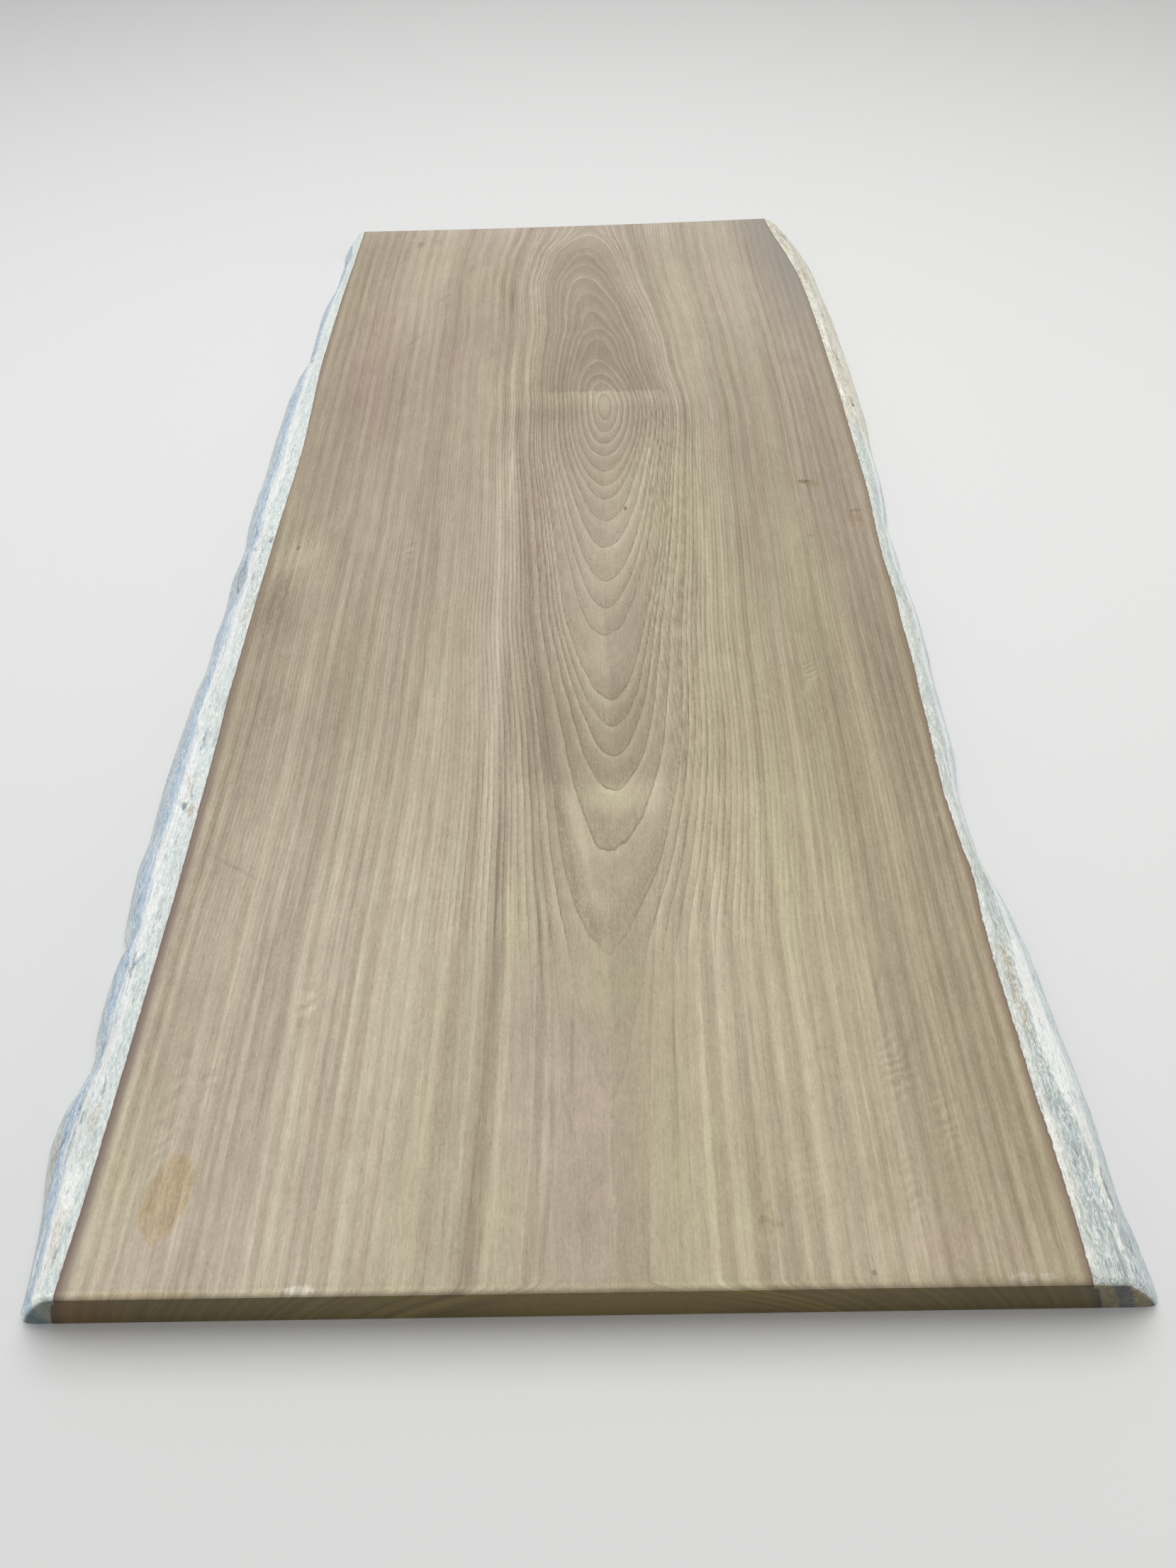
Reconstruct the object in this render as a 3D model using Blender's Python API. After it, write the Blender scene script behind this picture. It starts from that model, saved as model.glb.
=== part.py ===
"""Live-edge iroko plank: one sawn slab with two natural waney edges.

Metres, +Z up. The grain runs along Y, the near end is at -Y and the flat
underside lies on z = 0. Lengths in the tables below are millimetres.
"""
import math

import bmesh
import bpy
import numpy as np

MM = 0.001

THICKNESS = 62.0
NEAR_END = -1100.0
NEAR_SKEW = -0.003
FAR_END = 1080.0
FAR_SKEW = 0.037
FAR_BOW = 0.000037
STATION_STEP = 17.0
TOP_END_ROUND = 9.0
BOTTOM_END_ROUND = 2.5
END_ROUND_STEPS = 4
CORNER_ROUND = 15.0
KNEE_ROUND = 9.0
TOP_SPLITS = 3

# Top edge of the heartwood face, x along y, left side and right side.
LEFT_ARRIS = (
    (-1100, -436.5), (-1000, -433.5), (-880, -432.5), (-680, -431.5),
    (-550, -433.0), (-440, -434.5), (-380, -436.5), (-200, -437.0),
    (0, -436.0), (120, -434.0), (200, -433.5), (300, -436.5), (400, -440.5),
    (500, -443.5), (709, -442.5), (902, -439.0), (1110, -435.0),
)
RIGHT_ARRIS = (
    (-1100, 425.0), (-1000, 426.0), (-920, 424.0), (-780, 423.5),
    (-740, 424.0), (-670, 428.5), (-630, 426.0), (-550, 424.5),
    (-500, 426.5), (-450, 429.5), (-390, 431.5), (-340, 435.0),
    (-250, 437.0), (-190, 440.0), (-125, 439.0), (-50, 441.5), (50, 447.5),
    (120, 449.0), (230, 450.0), (340, 452.0), (580, 452.0), (680, 451.0),
    (784, 448.0), (904, 437.0), (1012, 421.0), (1110, 410.0),
)

# Outermost line of the natural edge, seen from above, x along y.
LEFT_OUTER = (
    (-1100, -487.0), (-1055, -489.5), (-1000, -496.5), (-965, -504.0),
    (-938, -507.0), (-905, -504.5), (-875, -496.5), (-850, -491.5),
    (-820, -496.5), (-785, -498.5), (-735, -498.5), (-712, -495.0),
    (-697, -500.5), (-650, -506.5), (-600, -510.0), (-560, -508.5),
    (-520, -509.5), (-440, -512.0), (-360, -510.5), (-300, -508.5),
    (-250, -504.5), (-190, -505.5), (-130, -504.5), (-60, -508.5),
    (15, -505.0), (60, -509.0), (160, -511.5), (210, -510.5), (300, -512.0),
    (450, -512.5), (520, -508.5), (570, -504.5), (600, -494.5),
    (660, -495.5), (770, -498.5), (800, -499.0), (845, -495.5),
    (880, -488.5), (950, -483.5), (984, -473.5), (1035, -484.0),
    (1110, -491.0),
)
RIGHT_OUTER = (
    (-1100, 502.5), (-1050, 499.5), (-1015, 495.5), (-930, 498.0),
    (-880, 495.5), (-830, 492.0), (-790, 491.5), (-735, 488.0),
    (-690, 481.0), (-655, 473.5), (-615, 466.5), (-570, 465.0),
    (-520, 463.0), (-480, 470.0), (-440, 475.0), (-350, 479.0),
    (-310, 480.0), (-260, 484.5), (-150, 485.5), (-90, 485.0), (-20, 484.0),
    (20, 484.0), (60, 488.5), (120, 495.0), (200, 498.5), (260, 501.5),
    (340, 508.0), (460, 510.5), (620, 511.0), (700, 510.5), (800, 506.5),
    (900, 505.0), (960, 500.5), (1010, 493.5), (1060, 484.5), (1110, 474.5),
)

# Width and fall of the rough, nearly level strip beside each arris.
LEFT_SHELF_WIDTH = (
    (-1100, 13), (-1000, 24), (-920, 25), (-860, 21), (-780, 27), (-720, 32),
    (-640, 34), (-520, 34), (-400, 25), (-250, 24), (0, 26), (250, 28),
    (400, 20), (500, 12), (640, 14), (800, 9), (880, 7), (960, 8),
    (1050, 11), (1110, 15),
)
LEFT_SHELF_DROP = (
    (-1100, 2), (-940, 6), (-860, 5), (-740, 8), (-600, 9), (-420, 7),
    (-200, 7), (100, 7), (400, 6), (600, 4), (800, 3), (985, 3), (1110, 3),
)
RIGHT_SHELF_WIDTH = (
    (-1100, 36), (-900, 30), (-770, 18), (-690, 9), (-640, 6), (-570, 6),
    (-500, 10), (-250, 11), (-100, 8), (0, 8), (100, 11), (300, 15),
    (500, 16), (900, 16), (1110, 12),
)
RIGHT_SHELF_DROP = (
    (-1100, 3), (-900, 5), (-770, 5), (-640, 2), (-300, 3), (0, 3),
    (300, 5), (600, 5), (900, 5), (1110, 4),
)

# Lumps (+) and hollows (-): side, y, place across (0 arris, 1 outermost),
# length, spread across and height.
RELIEF = (
    (-1, -1040, 0.45, 90, 0.25, 2.5),
    (-1, -940, 0.75, 80, 0.30, 3.0),
    (-1, -862, 0.70, 50, 0.30, -3.0),
    (-1, -790, 0.75, 70, 0.25, 2.5),
    (-1, -716, 0.80, 26, 0.30, -3.5),
    (-1, -660, 0.55, 90, 0.20, 2.0),
    (-1, -560, 0.80, 40, 0.25, -2.5),
    (-1, -417, 0.22, 60, 0.14, -3.5),
    (-1, -410, 0.48, 90, 0.14, 3.0),
    (-1, -300, 0.40, 70, 0.20, -2.0),
    (-1, -195, 0.75, 60, 0.25, 2.5),
    (-1, -120, 0.55, 60, 0.20, -2.0),
    (-1, 10, 0.65, 50, 0.30, -3.0),
    (-1, 110, 0.70, 90, 0.25, 2.0),
    (-1, 330, 0.55, 110, 0.25, 2.5),
    (-1, 575, 0.60, 50, 0.35, -3.5),
    (-1, 690, 0.55, 90, 0.25, 2.5),
    (-1, 830, 0.60, 60, 0.25, -2.0),
    (-1, 962, 0.75, 34, 0.30, 3.5),
    (-1, 992, 0.60, 24, 0.30, -4.5),
    (1, -1020, 0.30, 150, 0.13, -3.0),
    (1, -980, 0.52, 150, 0.08, 2.0),
    (1, -850, 0.28, 130, 0.12, -2.5),
    (1, -700, 0.65, 110, 0.25, 2.5),
    (1, -575, 0.70, 70, 0.30, -2.0),
    (1, -425, 0.75, 60, 0.25, 2.5),
    (1, -330, 0.45, 70, 0.20, -2.0),
    (1, -180, 0.75, 70, 0.25, 2.0),
    (1, -92, 0.75, 40, 0.30, -3.0),
    (1, 20, 0.65, 40, 0.30, -3.0),
    (1, 150, 0.65, 80, 0.25, 2.5),
    (1, 340, 0.60, 80, 0.25, 2.5),
    (1, 520, 0.40, 90, 0.18, -2.5),
    (1, 660, 0.35, 80, 0.18, 2.0),
    (1, 800, 0.40, 70, 0.16, -3.0),
    (1, 930, 0.55, 80, 0.25, 2.5),
    (1, 1020, 0.40, 60, 0.20, -2.0),
)

WOOD_COLOUR = (0.43, 0.34, 0.23, 1.0)
WOOD_ROUGHNESS = 0.62


def smooth_line(table, y):
    """Pass a smooth line without overshoot through the table's points."""
    knots = np.array(table, dtype=float)
    ky = knots[:, 0]
    kx = knots[:, 1]
    step = np.diff(ky)
    slope = np.diff(kx) / step
    same_way = slope[:-1] * slope[1:] > 0.0
    safe = np.where(same_way, slope[:-1] + slope[1:], 1.0)
    inner = np.where(same_way, 2.0 * slope[:-1] * slope[1:] / safe, 0.0)
    tangent = np.concatenate(([slope[0]], inner, [slope[-1]]))
    y = np.clip(y, ky[0], ky[-1])
    i = np.clip(np.searchsorted(ky, y, side="right") - 1, 0, len(ky) - 2)
    h = step[i]
    t = (y - ky[i]) / h
    return (
        kx[i] * (1 + 2 * t) * (1 - t) ** 2
        + tangent[i] * h * t * (1 - t) ** 2
        + kx[i + 1] * t * t * (3 - 2 * t)
        + tangent[i + 1] * h * t * t * (t - 1)
    )


def rounded_corner(before, corner, after, count):
    """Points of the parabola that rounds one corner of a section."""
    t = np.linspace(0.0, 1.0, count)[:, None]
    return (1 - t) ** 2 * before + 2 * t * (1 - t) * corner + t * t * after


def side_section(side, y):
    """Section of one natural edge, from its arris down to the underside.

    Returns rows of x, z and the share by which the row moves in at an end.
    """
    left = side < 0
    arris = float(smooth_line(LEFT_ARRIS if left else RIGHT_ARRIS, y))
    outer = float(smooth_line(LEFT_OUTER if left else RIGHT_OUTER, y))
    shelf = float(smooth_line(LEFT_SHELF_WIDTH if left else RIGHT_SHELF_WIDTH, y))
    drop = float(smooth_line(LEFT_SHELF_DROP if left else RIGHT_SHELF_DROP, y))
    width = abs(outer - arris)

    start = np.array((0.0, THICKNESS))
    knee = np.array((shelf, THICKNESS - drop))
    corner = np.array((width + 4.0, 0.0))
    level = (start - knee) / np.linalg.norm(start - knee)
    fall = (corner - knee) / np.linalg.norm(corner - knee)
    knee_arc = rounded_corner(knee + level * KNEE_ROUND, knee, knee + fall * KNEE_ROUND, 3)
    low_start = corner - fall * CORNER_ROUND
    low_arc = rounded_corner(low_start, corner, corner - (CORNER_ROUND, 0.0), 5)
    middle = 0.5 * (knee_arc[-1] + low_start) + np.array((1.5, 1.0))
    points = np.vstack((start, 0.5 * (start + knee_arc[0]), knee_arc, middle, low_arc))

    across = points[:, 0] / (width + 4.0)
    above = points[:, 1] / THICKNESS
    for where, at, place, length, spread, height in RELIEF:
        if where != side or abs(y - at) > length:
            continue
        along = math.cos(0.5 * math.pi * (y - at) / length) ** 2
        over = np.exp(-((across - place) / spread) ** 2)
        push = height * along * over * np.minimum(1.0, above * 4.0) * np.minimum(1.0, across * 6.0)
        points[:, 0] += push * 0.75
        points[:, 1] += push * 0.55
    points[1:, 1] = np.minimum(points[1:, 1], THICKNESS - 0.4)
    move_in = np.interp(across, (0.0, 0.45, 0.7, 1.0), (0.05, 0.35, 0.85, 0.8))
    return np.column_stack((arris + side * points[:, 0], points[:, 1], move_in * -side))


def ring(y, inset):
    """One closed section of the slab, pulled in where an end is rounded."""
    left = side_section(-1, y)
    right = side_section(1, y)
    share = np.linspace(0.0, 1.0, TOP_SPLITS + 1)[1:-1]
    top_x = left[0, 0] + share * (right[0, 0] - left[0, 0])
    top = np.column_stack((top_x, np.full_like(top_x, THICKNESS), 0.0 * top_x))
    low_x = right[-1, 0] + share * (left[-1, 0] - right[-1, 0])
    low = np.column_stack((low_x, 0.0 * low_x, 0.0 * low_x))
    rows = np.vstack((left[::-1], top, right, low))
    up = BOTTOM_END_ROUND * inset
    down = TOP_END_ROUND * inset
    rows[:, 0] += rows[:, 2] * TOP_END_ROUND * inset
    rows[:, 1] = up + rows[:, 1] * (THICKNESS - up - down) / THICKNESS
    return rows[:, :2]


def end_lines(x):
    """Both ends run slightly askew, and the far one is slightly hollow."""
    near = NEAR_END + NEAR_SKEW * x
    far = FAR_END + FAR_SKEW * x + FAR_BOW * x * x
    return near, far


def slab_rings():
    """All sections from the near end to the far end as x, y, z rows."""
    angles = np.linspace(0.0, 0.5 * math.pi, END_ROUND_STEPS + 1)
    near = NEAR_END + TOP_END_ROUND * (1 - np.sin(angles))[::-1]
    insets = (1 - np.cos(angles))[::-1]
    first = NEAR_END + TOP_END_ROUND
    last = FAR_END - TOP_END_ROUND
    count = int(round((last - first) / STATION_STEP))
    plain = np.linspace(first, last, count + 1)[1:-1]
    stations = [(y, inset) for y, inset in zip(near, insets)]
    stations += [(y, 0.0) for y in plain]
    far = FAR_END - (near - NEAR_END)
    stations += [(y, inset) for y, inset in zip(far[::-1], insets[::-1])]
    rings = []
    for y, inset in stations:
        rows = ring(y, inset)
        share = (y - NEAR_END) / (FAR_END - NEAR_END)
        near_line, far_line = end_lines(rows[:, 0])
        real_y = near_line + share * (far_line - near_line)
        rings.append(np.column_stack((rows[:, 0], real_y, rows[:, 1])) * MM)
    return np.array(rings)


def centred(rings):
    """Put the middle of the slab's box over the origin."""
    low = rings.reshape(-1, 3).min(axis=0)
    high = rings.reshape(-1, 3).max(axis=0)
    middle = 0.5 * (low + high)
    return rings - (middle[0], middle[1], low[2])


def build_plank(rings):
    """Skin the sections, close both ends and shade the round parts smooth."""
    mesh = bpy.data.meshes.new("plank")
    plank = bpy.data.objects.new("plank", mesh)
    bpy.context.collection.objects.link(plank)
    shape = bmesh.new()
    loops = []
    for rows in rings:
        loops.append([shape.verts.new(row) for row in rows])
    size = len(loops[0])
    for here, there in zip(loops[:-1], loops[1:]):
        for i in range(size):
            j = (i + 1) % size
            shape.faces.new((here[i], here[j], there[j], there[i]))
    shape.faces.new(loops[0][::-1])
    shape.faces.new(loops[-1])
    bmesh.ops.recalc_face_normals(shape, faces=shape.faces)
    bmesh.ops.triangulate(shape, faces=shape.faces)
    shape.to_mesh(mesh)
    shape.free()
    mesh.shade_smooth()
    mesh.set_sharp_from_angle(angle=math.radians(32.0))
    return plank


def wood_material():
    """Plain oiled iroko colour for the whole slab."""
    wood = bpy.data.materials.new("iroko")
    wood.use_nodes = True
    shader = wood.node_tree.nodes["Principled BSDF"]
    shader.inputs["Base Color"].default_value = WOOD_COLOUR
    shader.inputs["Roughness"].default_value = WOOD_ROUGHNESS
    return wood


def main():
    """Build the slab."""
    for thing in list(bpy.data.objects):
        bpy.data.objects.remove(thing, do_unlink=True)
    plank = build_plank(centred(slab_rings()))
    plank.data.materials.append(wood_material())


main()
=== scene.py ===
"""Live-edge iroko plank: fine surface, wood finish, floor, lights and camera.

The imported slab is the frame. One closed mesh stands for it: the same drawing of the slab worked out
much finer, with its rough natural edges. The slab's own tables are in millimetres in the drawing's
axes: the grain runs along Y, the near end is at -Y and the underside lies on z = 0. Areas and marks
are in metres from the plank's middle.
"""
import functools
import logging
import math
from dataclasses import dataclass, field
from enum import Enum
from typing import Sequence

import bmesh
import bpy
import numpy as np
from mathutils import Matrix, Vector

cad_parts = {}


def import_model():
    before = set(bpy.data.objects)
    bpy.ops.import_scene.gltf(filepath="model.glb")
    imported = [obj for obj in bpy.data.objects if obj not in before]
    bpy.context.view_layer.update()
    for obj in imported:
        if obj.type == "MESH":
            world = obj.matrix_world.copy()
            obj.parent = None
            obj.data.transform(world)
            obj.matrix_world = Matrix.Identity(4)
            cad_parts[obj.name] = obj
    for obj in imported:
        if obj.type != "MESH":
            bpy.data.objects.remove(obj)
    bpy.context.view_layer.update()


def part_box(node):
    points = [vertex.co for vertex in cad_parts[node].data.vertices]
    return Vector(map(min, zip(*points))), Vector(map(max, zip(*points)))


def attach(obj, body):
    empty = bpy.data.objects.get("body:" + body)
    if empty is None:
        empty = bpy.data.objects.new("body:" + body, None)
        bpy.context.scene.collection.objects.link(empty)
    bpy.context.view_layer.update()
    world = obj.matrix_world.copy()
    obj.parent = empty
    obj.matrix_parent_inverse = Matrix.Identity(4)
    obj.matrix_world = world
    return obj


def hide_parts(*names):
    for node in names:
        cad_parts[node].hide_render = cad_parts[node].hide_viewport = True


MM = 0.001
LOG = logging.getLogger("plank")

Table = Sequence[tuple[float, float]]
Socket = bpy.types.NodeSocket
Colour = tuple[float, float, float, float]
Place = tuple[float, float, float]
WHITE = (1.0, 1.0, 1.0, 1.0)
# Half the width of the soft border, in metres, between what counts as left and as right.
MIDDLE_HALF = 0.1


class Side(Enum):
    """The two natural edges; the value is the way each faces along X."""

    LEFT = -1
    RIGHT = 1


@dataclass(frozen=True)
class EdgeLines:
    """Plan lines of one natural edge, as rows of y and x, or of y and a size."""

    arris: Table
    outer: Table
    shelf_width: Table
    shelf_drop: Table


LEFT_LINES = EdgeLines(
    arris=(
        (-1100, -436.5), (-1000, -433.5), (-880, -432.5), (-680, -431.5), (-550, -433), (-440, -434.5),
        (-380, -436.5), (-200, -437), (0, -436), (120, -434), (200, -433.5), (300, -436.5), (400, -440.5),
        (500, -443.5), (709, -442.5), (902, -439), (1110, -435),
    ),
    outer=(
        (-1100, -487), (-1055, -489.5), (-1000, -496.5), (-965, -504), (-938, -507), (-905, -504.5),
        (-875, -496.5), (-850, -491.5), (-820, -496.5), (-785, -498.5), (-735, -498.5), (-712, -495),
        (-697, -500.5), (-650, -506.5), (-600, -510), (-560, -508.5), (-520, -509.5), (-440, -512),
        (-360, -510.5), (-300, -508.5), (-250, -504.5), (-190, -505.5), (-130, -504.5), (-60, -508.5),
        (15, -505), (60, -509), (160, -511.5), (210, -510.5), (300, -512), (450, -512.5), (520, -508.5),
        (570, -504.5), (600, -494.5), (660, -495.5), (770, -498.5), (800, -499), (845, -495.5),
        (880, -488.5), (950, -483.5), (984, -473.5), (1035, -484), (1110, -491),
    ),
    shelf_width=(
        (-1100, 13), (-1000, 24), (-920, 25), (-860, 21), (-780, 27), (-720, 32), (-640, 34), (-520, 34),
        (-400, 25), (-250, 24), (0, 26), (250, 28), (400, 20), (500, 12), (640, 14), (800, 9), (880, 7),
        (960, 8), (1050, 11), (1110, 15),
    ),
    shelf_drop=(
        (-1100, 2), (-940, 6), (-860, 5), (-740, 8), (-600, 9), (-420, 7), (-200, 7), (100, 7), (400, 6),
        (600, 4), (800, 3), (985, 3), (1110, 3),
    ),
)
RIGHT_LINES = EdgeLines(
    arris=(
        (-1100, 425), (-1000, 426), (-920, 424), (-780, 423.5), (-740, 424), (-670, 428.5), (-630, 426),
        (-550, 424.5), (-500, 426.5), (-450, 429.5), (-390, 431.5), (-340, 435), (-250, 437), (-190, 440),
        (-125, 439), (-50, 441.5), (50, 447.5), (120, 449), (230, 450), (340, 452), (580, 452), (680, 451),
        (784, 448), (904, 437), (1012, 421), (1110, 410),
    ),
    outer=(
        (-1100, 502.5), (-1050, 499.5), (-1015, 495.5), (-930, 498), (-880, 495.5), (-830, 492),
        (-790, 491.5), (-735, 488), (-690, 481), (-655, 473.5), (-615, 466.5), (-570, 465), (-520, 463),
        (-480, 470), (-440, 475), (-350, 479), (-310, 480), (-260, 484.5), (-150, 485.5), (-90, 485),
        (-20, 484), (20, 484), (60, 488.5), (120, 495), (200, 498.5), (260, 501.5), (340, 508),
        (460, 510.5), (620, 511), (700, 510.5), (800, 506.5), (900, 505), (960, 500.5), (1010, 493.5),
        (1060, 484.5), (1110, 474.5),
    ),
    shelf_width=(
        (-1100, 36), (-900, 30), (-770, 18), (-690, 9), (-640, 6), (-570, 6), (-500, 10), (-250, 11),
        (-100, 8), (0, 8), (100, 11), (300, 15), (500, 16), (900, 16), (1110, 12),
    ),
    shelf_drop=(
        (-1100, 3), (-900, 5), (-770, 5), (-640, 2), (-300, 3), (0, 3), (300, 5), (600, 5), (900, 5),
        (1110, 4),
    ),
)
LINES = {Side.LEFT: LEFT_LINES, Side.RIGHT: RIGHT_LINES}

# Lumps (+) and hollows (-) of each edge: y, place across (0 arris, 1 outermost), length, spread, height.
LUMPS = {
    Side.LEFT: (
        (-1040, 0.45, 90, 0.25, 2.5), (-940, 0.75, 80, 0.3, 3), (-862, 0.7, 50, 0.3, -3),
        (-790, 0.75, 70, 0.25, 2.5), (-716, 0.8, 26, 0.3, -3.5), (-660, 0.55, 90, 0.2, 2),
        (-560, 0.8, 40, 0.25, -2.5), (-417, 0.22, 60, 0.14, -3.5), (-410, 0.48, 90, 0.14, 3),
        (-300, 0.4, 70, 0.2, -2), (-195, 0.75, 60, 0.25, 2.5), (-120, 0.55, 60, 0.2, -2),
        (10, 0.65, 50, 0.3, -3), (110, 0.7, 90, 0.25, 2), (330, 0.55, 110, 0.25, 2.5),
        (575, 0.6, 50, 0.35, -3.5), (690, 0.55, 90, 0.25, 2.5), (830, 0.6, 60, 0.25, -2),
        (962, 0.75, 34, 0.3, 3.5), (992, 0.6, 24, 0.3, -4.5),
    ),
    Side.RIGHT: (
        (-1020, 0.3, 150, 0.13, -3), (-980, 0.52, 150, 0.08, 2), (-850, 0.28, 130, 0.12, -2.5),
        (-700, 0.65, 110, 0.25, 2.5), (-575, 0.7, 70, 0.3, -2), (-425, 0.75, 60, 0.25, 2.5),
        (-330, 0.45, 70, 0.2, -2), (-180, 0.75, 70, 0.25, 2), (-92, 0.75, 40, 0.3, -3),
        (20, 0.65, 40, 0.3, -3), (150, 0.65, 80, 0.25, 2.5), (340, 0.6, 80, 0.25, 2.5),
        (520, 0.4, 90, 0.18, -2.5), (660, 0.35, 80, 0.18, 2), (800, 0.4, 70, 0.16, -3),
        (930, 0.55, 80, 0.25, 2.5), (1020, 0.4, 60, 0.2, -2),
    ),
}

# Small marks torn in or left standing: y, distance out from the arris, half length, half width,
# height and slant (how far out the mark drifts for each millimetre along).
SCARS = {
    Side.LEFT: (
        (-1015, 17, 24, 7, 1.1, 0), (-934, 33, 7, 2.2, -1.6, 0.1), (-926, 30, 10, 1.8, -1.2, 0.1),
        (-950, 50, 34, 2.4, -1.4, 0.05), (-935, 57, 40, 2.6, -1.2, 0.05), (-905, 44, 36, 2.2, -1.1, 0.06),
        (-1040, 40, 45, 3, -1, 0), (-980, 26, 40, 3, 0.9, -0.1), (-765, 26, 30, 3, -1.9, -0.85),
        (-745, 40, 34, 4, 0.8, -0.5), (-686, 18, 40, 2.4, 0.9, 0.05), (-676, 27, 36, 2.2, 0.8, 0.05),
        (-622, 33, 28, 4, 1.3, -0.1), (-590, 24, 20, 3, -0.9, 0.3), (-551, 21, 12, 3.2, -2.2, 0.7),
        (-536, 12, 14, 2.4, -1.5, 0.5), (-566, 12, 22, 6, 0.9, 0), (-500, 30, 40, 3, -1, 0.15),
        (-350, 34, 46, 3, -0.9, 0.1), (-300, 20, 40, 4, 0.7, 0.1), (-205, 9, 50, 6, 0.8, 0),
        (-158, 18, 16, 2.4, -1.5, 1.1), (-57, 14, 4, 3.2, -1.5, 0), (-43, 33, 4, 3.4, -1.9, 0),
        (-33, 6, 9, 3, -1.6, 0.5), (-22, 8, 12, 2.4, 1, 0.5), (80, 20, 40, 3, -0.9, -0.1),
        (190, 14, 50, 4, 0.8, 0.05), (300, 30, 40, 3, -1.1, 0.15), (420, 22, 40, 3, -0.9, 0),
        (546, 34, 12, 4, -2.6, 0.9), (700, 20, 40, 3, 0.8, 0), (880, 30, 24, 4, -1.2, 0.6),
        (1008, 42, 12, 4, -2.2, 0.8),
    ),
    Side.RIGHT: (
        (-1060, 4, 70, 3, 0.9, 0), (-960, 5, 80, 3, 0.8, 0.02), (-1000, 27, 90, 2.4, -0.9, 0),
        (-1075, 36, 40, 2.2, 1.2, 0), (-990, 39, 70, 2.4, 1.2, -0.02), (-950, 30, 60, 1.8, -1.2, 0),
        (-860, 14, 80, 2.2, -1.2, 0.02), (-760, 13, 60, 2, -1.1, 0.05), (-820, 28, 80, 5, 0.7, 0),
        (-700, 24, 60, 3, -0.7, 0.1), (-600, 12, 60, 2.4, 0.8, 0.1), (-498, 16, 40, 2, 1.1, -0.25),
        (-430, 22, 40, 2.4, -0.9, 0.1), (-330, 14, 50, 2.4, 0.8, 0.1), (-180, 20, 50, 2.6, -0.9, 0),
        (-60, 16, 30, 2.4, 1, 0.2), (60, 22, 40, 3, -0.9, -0.1), (180, 16, 40, 2.6, 0.9, 0.1),
        (312, 25, 16, 2.6, 1.4, 0.3), (339, 28, 14, 5, -1.7, 0.1), (362, 7, 14, 2.4, 1.3, 0.3),
        (405, 16, 20, 2.4, 1.1, -0.3), (455, 24, 18, 3, -1.2, 0.2), (507, 28, 14, 5, -1.7, 0.1),
        (531, 8, 12, 2.4, 1.4, 0.3), (560, 18, 18, 2.4, 1.1, -0.4), (601, 11, 16, 2.6, 1.5, 0.4),
        (640, 22, 26, 3, -1.2, 0.1), (720, 14, 30, 3, 1, 0.2), (830, 26, 34, 3.4, -1.3, 0),
        (920, 12, 30, 3, 1, -0.1), (1046, 30, 14, 6, -1.6, 0.3),
    ),
}

# The torn facet near the left arris: its outer border, as rows of y and distance out.
FACET_BORDER = ((-470, 6), (-462, 18), (-440, 21), (-418, 22), (-402, 14), (-388, 2))
FACET_DROP = 1.5

# Growth rings cut by the top face: near tip, far tip and half width abreast of the innermost oval.
RINGS = (
    (280, 370, 12), (244, 406, 21.5), (208, 436, 31), (172, 481, 40.5), (128, 565, 50), (88, 604, 57.5),
    (50, 675, 63), (-6, 750, 70.5), (-72, 821, 78), (-150, 875, 86), (-209, 927, 91), (-266, 962, 96.5),
    (-390, 1023, 106.5), (-437, 1075, 110), (-487, 1120, 113.5), (-542, 1170, 118), (-633, 1250, 125),
    (-768, 1350, 135),
)
HEART_LINE = (
    (-1110, 30), (-950, 30), (-768, 31), (-633, 39), (-540, 44), (-440, 46), (-390, 45), (-250, 42),
    (-100, 46.5), (50, 49), (150, 49.5), (325, 54.5), (410, 49), (480, 45.5), (565, 46), (675, 39),
    (821, 26), (927, 27), (1023, 36), (1110, 42),
)

# Runs of ribbon stripes on each side, the far one and the near one: seed, share of the way from the
# heart line to the arris where the run starts, and how many stripes it has.
STRIPE_RUNS = {
    Side.LEFT: ((41, 0.22, 38), (42, 0.28, 41)),
    Side.RIGHT: ((43, 0.20, 41), (44, 0.30, 43)),
}
# Spread of the stripes' widths against each other, and of their strengths.
STRIPE_WIDTHS = (0.4, 1.6)
STRIPE_TONES = (0.15, 1.15)
# The wood darkens over the last of the way to the sapwood.
LAST_STRIPE = 0.985
ARRIS_TONE = -1.5


def smooth_line(table: Table, at: np.ndarray) -> np.ndarray:
    """Pass a smooth line through a table's points without overshooting them.

    Each stretch is a cubic that keeps the harmonic mean of its neighbours' slopes at both ends.

    Args:
        table: Rows of place and value, places rising.
        at: Places to read, any shape.

    Returns:
        Values of the same shape as at.
    """
    knots = np.array(table, dtype=float)
    place, value = knots[:, 0], knots[:, 1]
    step = np.diff(place)
    slope = np.diff(value) / step
    same_way = slope[:-1] * slope[1:] > 0.0
    safe = np.where(same_way, slope[:-1] + slope[1:], 1.0)
    inner = np.where(same_way, 2.0 * slope[:-1] * slope[1:] / safe, 0.0)
    tangent = np.concatenate(([slope[0]], inner, [slope[-1]]))
    at = np.clip(at, place[0], place[-1])
    i = np.clip(np.searchsorted(place, at, side="right") - 1, 0, len(place) - 2)
    h = step[i]
    t = (at - place[i]) / h
    return (
        value[i] * (1 + 2 * t) * (1 - t) ** 2
        + tangent[i] * h * t * (1 - t) ** 2
        + value[i + 1] * t * t * (3 - 2 * t)
        + tangent[i + 1] * h * t * t * (t - 1)
    )


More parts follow.
